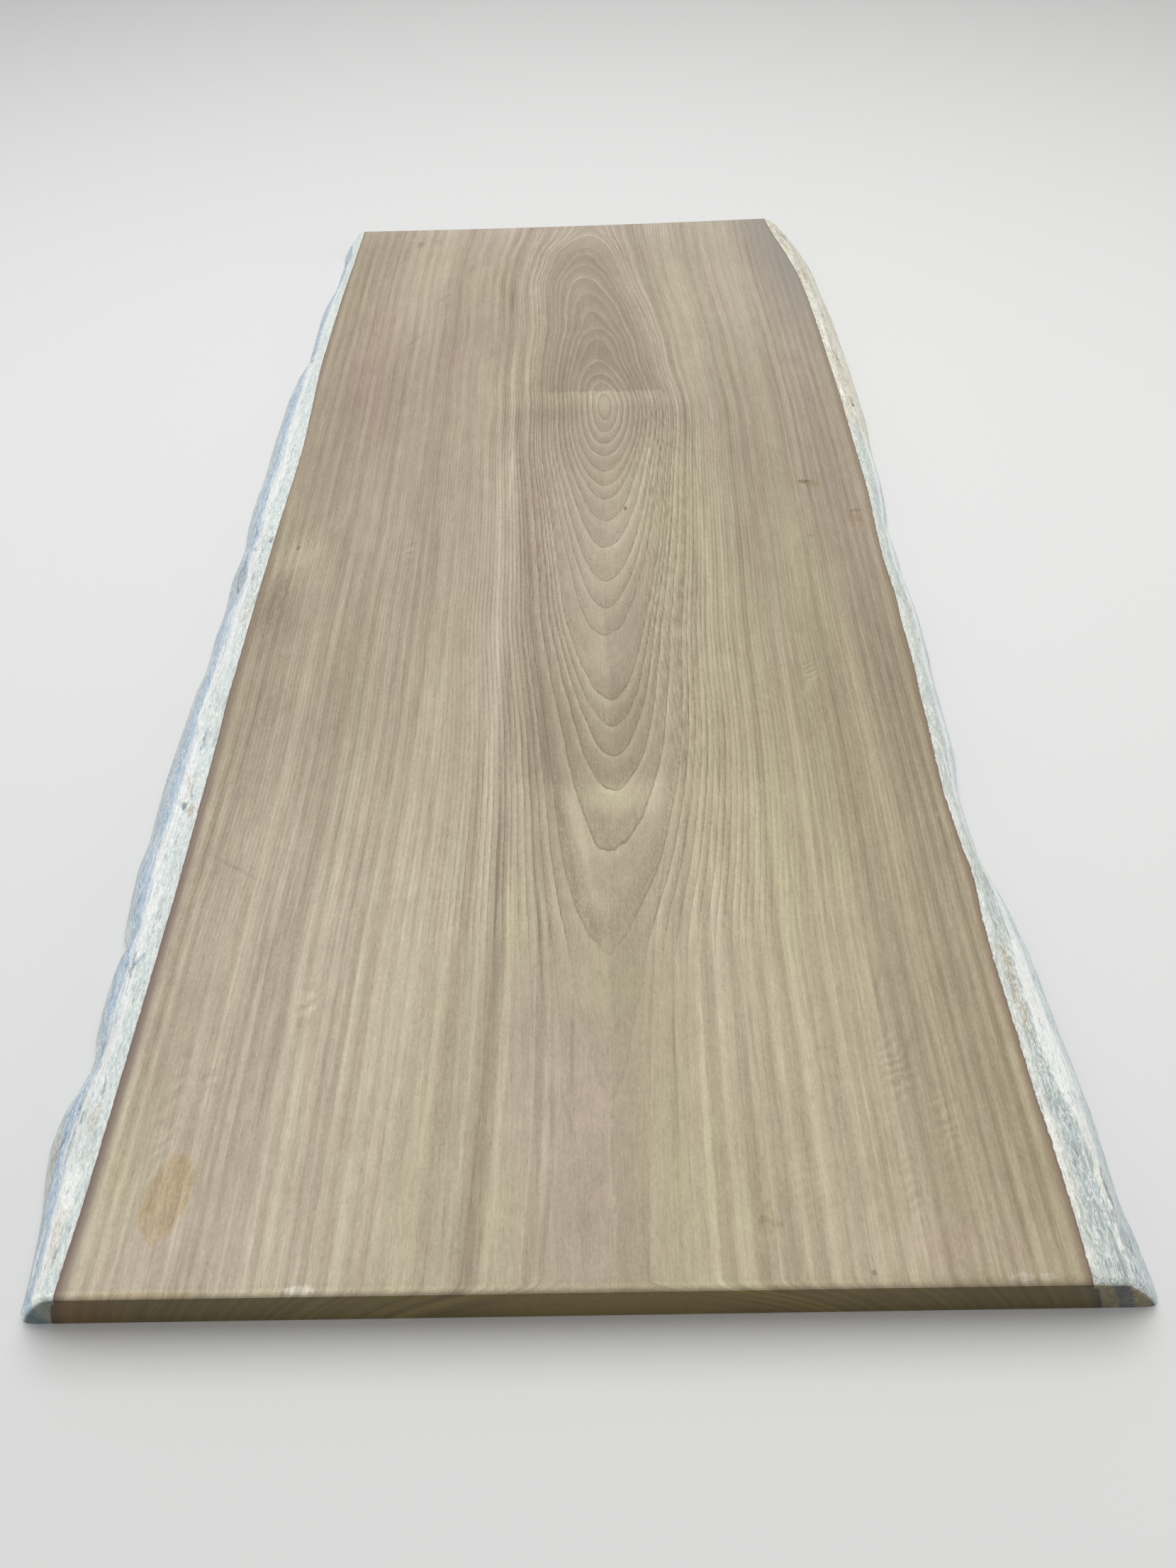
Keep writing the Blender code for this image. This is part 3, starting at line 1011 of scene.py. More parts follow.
class Graph:
    """Short ways to add shader nodes; each method returns the socket to read."""

    def __init__(self, tree: bpy.types.NodeTree) -> None:
        """Keep the node tree that the nodes go into, and read the place on the plank."""
        self.tree = tree
        self.here = self.node("TexCoord").outputs["Object"]
        self.spot = self.node("Attribute", attribute_name="spot").outputs["Vector"]
        self.x, self.y, self.z = self.split(self.spot)
        self.leaning: dict[float, Socket] = {}
        self.wave: Socket | None = None

    def plug(self, socket: Socket, value: object) -> None:
        """Link a socket's source, or set its plain value.

        Args:
            socket: The input.
            value: Another node's output, or a plain number, vector or colour.
        """
        if isinstance(value, bpy.types.NodeSocket):
            self.tree.links.new(value, socket)
        else:
            socket.default_value = value

    def node(self, kind: str, values: Sequence | dict = (), **settings: object) -> bpy.types.Node:
        """Add a node, set its options and fill its inputs.

        Args:
            kind: The node's type, without the words that all shader types start with.
            values: What goes into the inputs, in order or by their numbers or names.
            **settings: The node's options.

        Returns:
            The node.
        """
        made = self.tree.nodes.new("ShaderNode" + kind)
        for name, value in settings.items():
            setattr(made, name, value)
        pairs = values.items() if isinstance(values, dict) else enumerate(values)
        for key, value in pairs:
            self.plug(made.inputs[key], value)
        return made

    def math(self, operation: str, first: object, second: object = 0.0) -> Socket:
        """One arithmetic step."""
        return self.node("Math", (first, second), operation=operation).outputs[0]

    def fold(self, operation: str, values: Sequence) -> Socket:
        """Put several values together by one operation, from the first to the last."""
        return functools.reduce(functools.partial(self.math, operation), values)

    def add(self, *values: object) -> Socket:
        """Sum of several values."""
        return self.fold("ADD", values)

    def times(self, *values: object) -> Socket:
        """Product of several values."""
        return self.fold("MULTIPLY", values)

    def size(self, value: Socket) -> Socket:
        """A value without its sign."""
        return self.math("ABSOLUTE", value)

    def scaled(self, value: Socket, factor: float, extra: object) -> Socket:
        """A value times a factor plus an extra."""
        return self.node("Math", (value, factor, extra), operation="MULTIPLY_ADD").outputs[0]

    def span(self, value: Socket, low: float, high: float, start: float = 0, end: float = 1) -> Socket:
        """Ease from start at low to end at high, and stay there outside."""
        ends = (value, low, high, start, end)
        return self.node("MapRange", ends, interpolation_type="SMOOTHSTEP").outputs[0]

    def hill(self, value: Socket, middle: float, half: float) -> Socket:
        """A hill of height 1 at middle that falls to 0 at half on both sides."""
        return self.span(self.size(self.math("SUBTRACT", value, middle)), 0.0, half, 1.0, 0.0)

    def side(self, left: float = 0.0, right: float = 1.0) -> Socket:
        """One number on the plank's left and another on its right."""
        return self.span(self.x, -MIDDLE_HALF, MIDDLE_HALF, left, right)

    def mix(self, share: object, first: object, second: object, blend: str = "MIX") -> Socket:
        """Blend two colours."""
        values = {0: share, 6: first, 7: second}
        return self.node("Mix", values, data_type="RGBA", blend_type=blend).outputs[2]

    def dye(self, colour: Socket, tint: object) -> Socket:
        """Multiply a colour by a tint."""
        return self.mix(1.0, colour, tint, "MULTIPLY")

    def between(self, share: object, first: object, second: object) -> Socket:
        """Blend two numbers."""
        return self.node("Mix", {0: share, 2: first, 3: second}, data_type="FLOAT").outputs[0]

    def read(self, name: str) -> Socket:
        """Read one of the plank's own surface values."""
        return self.node("Attribute", attribute_name=name).outputs["Fac"]

    def vector(self, x: object, y: object, z: object = 0.0) -> Socket:
        """Make a vector of three numbers."""
        return self.node("CombineXYZ", (x, y, z)).outputs[0]

    def split(self, vector: Socket) -> list[Socket]:
        """The three numbers of a vector or colour."""
        return list(self.node("SeparateXYZ", (vector,)).outputs)

    def dice(self, number: Socket) -> list[Socket]:
        """Three random numbers from 0 to 1 for a whole number."""
        thrown = self.node("TexWhiteNoise", {"W": number}, noise_dimensions="1D")
        return self.split(thrown.outputs["Color"])

    def grey(self, level: Socket) -> Socket:
        """Make a grey colour of a level."""
        return self.node("CombineColor", (level, level, level)).outputs[0]

    def along(self, flat: Socket, x: float, y: float, seed: float) -> Socket:
        """A flat place with each axis scaled, and a seed as its third number."""
        values = {"Vector": flat, "Scale": (x, y, 0.0), "Location": (0.0, 0.0, seed)}
        return self.node("Mapping", values).outputs[0]

    def noise(
        self, vector: Socket, detail: float = 2.0, roughness: float = 0.5, twist: float = 0.0
    ) -> Socket:
        """Noise around zero, from about -1 to 1, one wave for each unit of the vector.

        Args:
            vector: The place to read.
            detail: Finer layers on top of the first.
            roughness: How strong each layer is beside the one before.
            twist: How far the place is pushed about first.

        Returns:
            The noise value.
        """
        values = {"Vector": vector, "Scale": 1.0, "Detail": detail}
        values |= {"Roughness": roughness, "Distortion": twist}
        made = self.node("TexNoise", values, noise_dimensions="3D")
        return self.scaled(made.outputs[0], 3.0, -1.5)

    def waves(self, x: float, y: float, z: float, *settings: float) -> Socket:
        """Noise over the plank with so many waves per metre along X, Y and Z."""
        place = self.node("Mapping", {"Vector": self.here, "Scale": (x, y, z)}).outputs[0]
        return self.noise(place, *settings)

    def leaned(self, lean: float) -> Socket:
        """Flat place on the top face, sheared so that lines of this lean run straight.

        Args:
            lean: Metres in X per metre of Y.

        Returns:
            The place, a little wavy so that long marks aren't ruled lines.
        """
        if lean not in self.leaning:
            if self.wave is None:
                self.wave = self.times(self.waves(130.0, 26.0, 0.0, 1.0), 0.0007)
            upright = self.add(self.x, self.times(self.y, -lean), self.wave)
            self.leaning[lean] = self.vector(upright, self.y)
        return self.leaning[lean]

    def reach(self, mark: Mark) -> Socket:
        """Distance from a mark's middle on the top face, 1 at the end of its half sizes.

        Args:
            mark: The mark.

        Returns:
            The distance.
        """
        flat = self.leaned(mark.lean) if mark.lean else self.spot
        upright = mark.x - mark.lean * mark.y
        scale = (1.0 / mark.half_x, 1.0 / mark.half_y, 0.0)
        shift = (-upright / mark.half_x, -mark.y / mark.half_y, 0.0)
        local = self.node("VectorMath", (flat, scale, shift), operation="MULTIPLY_ADD").outputs[0]
        return self.node("VectorMath", (local,), operation="LENGTH").outputs["Value"]

    def cover(
        self, group: Sequence[Mark], inner: float, outer: float, ragged: Socket | None = None
    ) -> Socket:
        """Sum of what marks lay on the wood, each full inside and fading out at its border.

        Args:
            group: The marks.
            inner: Distance from a mark's middle where it starts to fade, as a share of its size.
            outer: Distance where it has faded out.
            ragged: Noise that frays the borders, if they aren't smooth.

        Returns:
            The sum of the marks' amounts.
        """
        total = 0.0
        for mark in group:
            away = self.reach(mark)
            if ragged is not None:
                away = self.scaled(ragged, mark.ragged, away)
            total = self.math("ADD", self.span(away, inner, outer, mark.amount, 0.0), total)
        return total

    def curve(self, value: Socket, table: Table) -> Socket:
        """Read a table in straight stretches.

        Args:
            value: The place to read at.
            table: Rows of place, from 0 to 1, and value, from -2 to 2.

        Returns:
            The value there.
        """
        made = self.node("FloatCurve")
        curve = made.mapping.curves[0]
        points = [(place, 0.5 + 0.25 * tone) for place, tone in table]
        curve.points[0].location = (0.0, points[0][1])
        curve.points[1].location = points[-1]
        for place, height in points[:-1]:
            curve.points.new(place, height)
        for point in curve.points:
            point.handle_type = "VECTOR"
        made.mapping.update()
        self.plug(made.inputs["Value"], value)
        return self.math("MULTIPLY", self.math("SUBTRACT", made.outputs[0], 0.5), 4.0)

    def ramp(self, value: Socket, *stops: tuple[float, Colour]) -> Socket:
        """Read a colour between stops.

        Args:
            value: The place to read at.
            *stops: Place and colour of each stop, places rising.

        Returns:
            The colour there.
        """
        made = self.node("ValToRGB")
        elements = made.color_ramp.elements
        elements[0].position, elements[0].color = stops[0]
        elements[1].position, elements[1].color = stops[-1]
        for place, colour in stops[1:-1]:
            elements.new(place).color = colour
        self.plug(made.inputs[0], value)
        return made.outputs[0]


# Broad light and dark areas of the heartwood; hue runs from -1, mauve, to 1, olive.
AREAS = tuple(Area(*row) for row in (
    (0.05, 0.33, 0.016, 0.036, 0.9, 1.2), (-0.03, 0.298, 0.06, 0.024, -0.9, -0.5),
    (0.14, 0.27, 0.045, 0.045, -0.6, 0.2), (-0.098, -0.25, 0.02, 0.26, 1.2, -0.9),
    (-0.1, 0.08, 0.03, 0.11, 0.8, 0.3), (0.042, -0.31, 0.04, 0.055, 0.9, -0.5),
    (0.045, -0.556, 0.045, 0.022, 1.5, 0.9), (0.092, -0.56, 0.013, 0.06, 0.8, -0.8),
    (0.03, -0.8, 0.04, 0.07, 0.35, 1.2), (0.012, -1, 0.05, 0.17, -0.35, -1.3),
    (-0.045, -0.9, 0.016, 0.13, -0.5, -1), (-0.062, -1.03, 0.02, 0.06, 0.2, 0.6),
    (-0.06, -0.73, 0.02, 0.06, 0.6, 1.2), (0.075, -0.98, 0.018, 0.12, 0.3, 0.7),
    (0.095, -0.98, 0.02, 0.2, 0.2, 0.9), (0.15, -1.02, 0.03, 0.08, -0.5, 0.5),
    (0.23, -0.65, 0.06, 0.2, 0.1, 1.3), (0.2, 0.56, 0.06, 0.3, 0.5, 0.5),
    (-0.12, 0.58, 0.024, 0.18, -0.8, -0.4), (0.15, 0.15, 0.05, 0.12, 0.3, 0.9),
    (0.13, -0.02, 0.05, 0.12, 0.3, 0.9), (-0.04, 0.06, 0.04, 0.18, -0.7, -0.4),
    (-0.03, -0.1, 0.035, 0.1, -0.4, -0.4), (0.03, 1.01, 0.08, 0.04, 0.6, -0.7),
    (-0.32, 0.35, 0.06, 0.16, -0.4, -0.4), (-0.22, 0.8, 0.08, 0.2, -0.3, -0.5),
    (-0.39, -0.83, 0.045, 0.25, 0.6, 0.2), (0.34, -0.9, 0.06, 0.2, -0.5, 0.3),
    (0.405, -1, 0.02, 0.1, -0.8, 0.2), (-0.36, -1.05, 0.08, 0.05, 0.5, -0.6),
    (-0.41, -1.005, 0.026, 0.08, 0.8, 1.3), (0.3, -1.07, 0.12, 0.02, 0.3, -0.8),
    (-0.33, 0.48, 0.09, 0.26, -0.5, -0.9), (-0.26, 0.85, 0.06, 0.16, 0.4, 0.9),
    (-0.075, 0.6, 0.008, 0.33, 0.8, 0.6), (0.3, 0.7, 0.1, 0.3, 0.2, 0.1),
    (0.395, 0.15, 0.03, 0.35, -0.7, -0.7), (0.4, -0.42, 0.022, 0.3, -0.9, -0.6),
    (0.33, -0.18, 0.03, 0.12, 0.6, 0.4), (0.255, -0.06, 0.02, 0.08, -0.8, -0.5),
    (-0.375, -0.09, 0.035, 0.05, 0.9, 0.4), (-0.4, -0.21, 0.03, 0.055, -1.2, -0.5),
    (-0.175, -0.38, 0.03, 0.11, 0.6, 0.3), (-0.33, -0.45, 0.035, 0.06, -0.6, -0.6),
    (-0.105, -0.02, 0.013, 0.42, 0.9, -0.2), (0.29, 0.13, 0.06, 0.12, -0.7, -0.2),
    (0.35, -0.7, 0.03, 0.2, -0.4, 0.8), (0.3, -0.56, 0.02, 0.12, -0.5, 0.6),
    (-0.2, 0.5, 0.05, 0.2, -0.2, -0.9), (0.04, 0.56, 0.03, 0.2, -0.5, -0.4),
))


# Narrow marks whose amount is a tone. Marks of one lean stand together and steep ones last, which
# keeps the number of values that the shader holds at once below its limit.
STREAKS = marks(
    (-0.152, -0.23, 0.0026, 0.06, -1), (-0.143, -0.86, 0.0036, 0.11, -1), (-0.134, 0.33, 0.006, 0.06, 0.8),
    (-0.102, 0.4, 0.0034, 0.16, 1), (-0.089, 0.27, 0.0052, 0.06, -1.2),
    (-0.085, -0.64, 0.0024, 0.12, -1.2), (-0.079, 0.44, 0.004, 0.15, 1.4), (0.189, -0.06, 0.004, 0.1, 0.9),
    (0.41, -0.589, 0.002, 0.006, 1.8), (-0.166, -0.6, 0.006, 0.08, -0.9, -0.02),
    (0.17, -0.87, 0.0024, 0.1, -1, -0.02), (0.193, 0.18, 0.0028, 0.24, -1.1, -0.02),
    (-0.319, -0.765, 0.008, 0.04, -0.9, 0.02), (-0.317, -0.63, 0.013, 0.095, 0.7, 0.02),
    (-0.143, 0.51, 0.0036, 0.12, -1.1, 0.02), (-0.11, 0.76, 0.003, 0.12, -1.1, 0.02),
    (-0.095, 0.12, 0.0036, 0.12, 1.2, 0.02), (-0.0045, -0.87, 0.0032, 0.06, -1.3, 0.02),
    (0.093, -0.9, 0.0016, 0.09, -1, 0.02), (0.172, -0.17, 0.0034, 0.12, -1.1, 0.02),
    (-0.082, -0.35, 0.003, 0.11, -1.5, -0.04), (-0.037, -0.76, 0.0024, 0.09, -1.2, -0.04),
    (-0.023, -0.86, 0.006, 0.07, 0.6, -0.04), (-0.077, -0.24, 0.003, 0.1, -1.3, -0.06),
    (-0.027, -0.33, 0.0026, 0.09, 0.7, -0.06), (-0.03, -0.99, 0.005, 0.06, 0.8, 0.06),
    (0.156, -0.6, 0.0044, 0.07, -1.3, 0.06), (0.16, -0.3, 0.0034, 0.1, -0.8, 0.06),
    (0.17, -0.5, 0.005, 0.07, -1.2, 0.06), (-0.035, -0.47, 0.0036, 0.11, -1.5, -0.08),
    (0.124, -0.6, 0.0036, 0.05, -1.2, 0.08), (-0.068, -0.42, 0.0028, 0.08, -1.2, -0.1),
    (-0.003, -0.66, 0.0036, 0.06, -0.9, -0.1), (0.113, -0.7, 0.0034, 0.09, -1.1, 0.1),
    (0.132, -0.48, 0.0044, 0.09, -1, 0.1), (-0.016, -0.575, 0.0036, 0.061, -1.2, -0.15),
    (0.144, 0.64, 0.0026, 0.091, 0.9, -0.15), (0.112, -0.42, 0.003, 0.081, 0.8, 0.15),
    (0.142, -0.5, 0.0034, 0.061, 0.9, 0.15), (0.003, -0.6, 0.0085, 0.061, 1.2, -0.2),
    (0.015, -0.67, 0.006, 0.051, 0.8, -0.2), (0.019, -0.74, 0.006, 0.031, -0.8, -0.2),
    (0.106, 0.93, 0.004, 0.061, -0.9, -0.2), (0.128, 0.7, 0.003, 0.143, -1, -0.2),
    (-0.07, 0.96, 0.004, 0.092, 0.9, 0.2), (-0.0085, -0.945, 0.0034, 0.031, -1, -0.25),
    (-0.032, 0.99, 0.003, 0.062, 0.7, 0.25), (0.302, -0.807, 0.004, 0.022, -0.8, 0.4),
    (0.319, -0.878, 0.004, 0.022, -0.8, 0.4), (-0.285, 0.57, 0.005, 0.034, -0.9, 0.5),
    (-0.25, 0.73, 0.005, 0.034, -0.9, 0.5), (0.3, -0.365, 0.006, 0.031, 0.9, 0.5),
    (-0.401, -0.25, 0.0014, 0.03, 0.5, 0.75), (-0.411, -0.306, 0.0016, 0.044, 0.7, 0.8),
    (-0.37, -0.65, 0.006, 0.023, -1, -1.6),
)


# Patches of short cross ripples in the ribbon grain.
LADDERS = marks(
    (-0.268, -0.825, 0.016, 0.055, 0.9), (-0.378, -0.95, 0.016, 0.11, 0.6),
    (-0.345, -0.9, 0.012, 0.06, 0.6), (0.3, -0.905, 0.022, 0.055, 0.8), (0.292, -1.02, 0.012, 0.06, 0.6),
    (0.205, -1.02, 0.045, 0.06, 0.25), (0.302, -0.345, 0.015, 0.03, 1), (-0.235, -0.08, 0.012, 0.06, 0.8),
    (0.335, -0.96, 0.02, 0.06, 0.5), (0.24, 0.62, 0.03, 0.1, 0.4),
)

# Bands abreast of the heart line near the near end: share of 160 mm out, and tone.
BANDS_LEFT = (
    (0, -0.2), (0.35, -0.25), (0.362, -1), (0.375, -0.9), (0.385, 0), (0.405, 0.7), (0.42, 0),
    (0.435, -0.8), (0.475, -0.7), (0.485, 0.9), (0.495, 0.2), (0.64, 0.1), (0.656, 1.2), (0.695, 1.2),
    (0.71, -0.5), (0.77, -0.7), (0.79, -1.1), (0.805, 0.6), (0.88, 0.7), (0.92, -0.2), (1, 0),
)
BANDS_RIGHT = (
    (0, -0.2), (0.075, -0.25), (0.095, 0.3), (0.135, 0.2), (0.15, -0.7), (0.185, -0.6), (0.195, 0.9),
    (0.21, 0.5), (0.3, 0.2), (0.345, -0.2), (0.355, -1.1), (0.37, 0.2), (0.505, 0.2), (0.52, 1.3),
    (0.545, 1.3), (0.56, -0.6), (0.64, -0.7), (0.655, 0.5), (0.74, 0.4), (0.755, -0.6), (0.91, -0.7),
    (0.922, -1.3), (0.935, 0), (1, 0.1),
)


# Distances, as a share of a tinted mark's size, where it starts to fade and where it has gone.
BLOT_BORDER = (0.80, 1.10)

# Tints that the wood is multiplied by, each with its marks on the top face.
OCHRE = (0.91, 0.84, 0.69, 1.0)
UMBER = (0.46, 0.44, 0.40, 1.0)
GREY_BROWN = (0.70, 0.66, 0.64, 1.0)
PALE = (1.15, 1.16, 1.15, 1.0)
# Painted glints: bluish-white highlights painted on the near end's top roundover.
PAINTED_GLINT = (1.30, 1.36, 1.55, 1.0)
DUSK = (0.80, 0.78, 0.76, 1.0)

BLOTS = {
    OCHRE: marks(
        (-0.3575, -1.007, 0.0185, 0.033, 1, 0, 0.16), (-0.3635, -1.0225, 0.019, 0.033, 1, 0, 0.16),
        (-0.364, -1.06, 0.0035, 0.016, 0.4, 0, 0.7), (-0.365, -1.0985, 0.05, 0.0025, 0.8, 0, 0.5),
        (0.365, 0.084, 0.01, 0.009, 0.9, 0, 0.9), (0.415, -0.012, 0.013, 0.016, 0.6, 0, 0.9),
        (0.1634, -1.044, 0.01, 0.012, 0.35, 0, 0.9),
    ),
    # Painted highlights on the near roundover.
    PAINTED_GLINT: marks(
        (-0.231, -1.0965, 0.013, 0.004, 0.9, 0, 0.6), (0.369, -1.0965, 0.01, 0.0035, 0.7, 0, 0.6),
        (0.39, -1.0965, 0.007, 0.003, 0.6, 0, 0.6),
    ),
    UMBER: marks(
        (0.354, 0.088, 0.0075, 0.0055, 0.7, 0, 0.9), (0.4183, 0.0086, 0.01, 0.004, 0.45, 0, 0.9),
        (0.3454, -0.052, 0.006, 0.003, 0.25, 0, 0.9), (0.0786, 0.0248, 0.0028, 0.006, 0.9, 0, 0.2),
        (-0.3972, -0.0602, 0.0026, 0.0065, 0.75, 0, 0.3), (0.1595, -1.045, 0.006, 0.0034, 0.3, 0, 0.8),
        (0.169, -1.0482, 0.0058, 0.0032, 0.25, 0, 0.8), (0.164, -1.0315, 0.0042, 0.0032, 0.16, 0, 0.8),
        (0.246, -1.0908, 0.003, 0.003, 0.6, 0, 0.4),
    ),
    PALE: marks(
        (-0.395, -0.08, 0.024, 0.038, 0.75, 0.2, 1.2), (-0.35, 0.015, 0.012, 0.03, 0.45, 0, 1.2),
    ),
    DUSK: marks(
        (-0.415, -0.185, 0.016, 0.06, 0.6, 0.1, 1.2), (-0.372, -0.395, 0.012, 0.04, 0.45, 0.1, 1.2),
    ),
    GREY_BROWN: marks(
        (-0.3101, 0.9907, 0.008, 0.016, 0.75, 0, 0.7), (-0.2726, 0.9997, 0.007, 0.016, 0.45, 0, 0.7),
    ),
}


WHITE_TORN = linear(250, 252, 248)
CREAM_TORN = linear(242, 242, 230)
TAN_BARK = linear(192, 174, 142)
BROWN_BARK = linear(120, 98, 70)
DARK_PIT = linear(84, 88, 92)
GREY_BLUE = linear(168, 182, 186)
# Painted shade: slate marks where the natural edges lie in shade.
SLATE_PAINTED_SHADE = linear(132, 144, 152)

# Marks of the natural edges, seen from above, under the colour that each is painted in.
EDGE_MARKS = {
    WHITE_TORN: marks(
        (-0.45, -1.015, 0.009, 0.03, 0.9, 0, 0.5), (-0.4645, -0.625, 0.0035, 0.03, 0.9, 0, 0.5),
        (-0.451, -0.686, 0.004, 0.024, 0.8, 0, 0.5), (-0.46, -0.87, 0.003, 0.04, 0.7, 0, 0.5),
        (-0.47, -1.06, 0.003, 0.03, 0.7, 0, 0.5), (-0.47, -0.3, 0.004, 0.07, 0.7, 0, 0.5),
        (-0.468, 0.12, 0.005, 0.09, 0.7, 0, 0.5), (-0.47, 0.38, 0.004, 0.06, 0.7, 0, 0.5),
        (0.458, -0.842, 0.012, 0.11, 0.9, 0, 0.3), (0.4415, -0.498, 0.002, 0.03, 0.8, 0, 0.3),
        (0.462, 0.601, 0.003, 0.012, 1, 0, 0.5), (0.46, 0.531, 0.003, 0.012, 1, 0, 0.5),
        (0.458, 0.362, 0.003, 0.012, 1, 0, 0.5), (0.473, 0.312, 0.003, 0.014, 1, 0, 0.5),
    ),
    GREY_BLUE: marks(
        (0.482, -1.03, 0.012, 0.11, 0.55, 0, 0.6), (0.446, -1.005, 0.006, 0.09, 0.3, 0, 0.6),
        (0.435, -0.905, 0.005, 0.05, 0.35, 0, 0.8),
    ),
    CREAM_TORN: marks(
        (-0.444, -0.42, 0.0065, 0.036, 0.7, 0, 0.8), (0.429, -0.99, 0.0028, 0.11, 0.7, 0, 0.8),
        (0.461, -1.015, 0.003, 0.08, 0.7, 0, 0.8),
    ),
    TAN_BARK: marks(
        (-0.487, -0.968, 0.006, 0.034, 0.6, 0, 0.8), (-0.447, -0.937, 0.006, 0.018, 0.35, 0, 0.7),
        (-0.448, -1.05, 0.006, 0.024, 0.35, 0, 0.7), (-0.442, -0.562, 0.005, 0.011, 0.7, 0, 0.6),
        (-0.4445, -0.203, 0.005, 0.04, 0.35, 0, 0.7), (0.438, -0.81, 0.0045, 0.06, 0.6, 0, 0.9),
    ),
    BROWN_BARK: marks(
        (0.475, 0.507, 0.0045, 0.009, 0.9, 0, 0.5), (0.475, 0.339, 0.0045, 0.009, 0.9, 0, 0.5),
        (0.45, 1.045, 0.008, 0.014, 0.8, 0, 0.5),
    ),
    DARK_PIT: marks(
        (-0.463, -0.934, 0.0022, 0.008, 0.5, 0, 0.6), (-0.48, -0.947, 0.002, 0.011, 0.5, 0, 0.6),
        (-0.471, -0.915, 0.0018, 0.012, 0.5, 0, 0.6), (-0.475, -0.895, 0.0018, 0.01, 0.5, 0, 0.6),
        (-0.468, -0.965, 0.0018, 0.01, 0.5, 0, 0.6), (-0.453, -0.551, 0.0035, 0.005, 0.6, 0, 0.6),
        (-0.4565, -0.768, 0.0024, 0.016, 0.5, 0, 0.6), (-0.4535, -0.44, 0.0018, 0.024, 0.55, 0, 0.4),
        (-0.441, -0.035, 0.003, 0.006, 0.5, 0, 0.6), (-0.466, -0.043, 0.003, 0.003, 0.5, 0, 0.6),
        (-0.45, -0.057, 0.0028, 0.003, 0.5, 0, 0.6), (-0.471, 0.546, 0.005, 0.006, 0.5, 0, 0.6),
        (-0.472, 1.006, 0.005, 0.005, 0.5, 0, 0.4),
    ),
    # Painted shade on the natural edges.
    SLATE_PAINTED_SHADE: marks(
        (-0.478, -0.085, 0.008, 0.045, 0.65, 0, 1.3), (0.468, -1.05, 0.007, 0.06, 0.55, 0, 0.8),
    ),
}


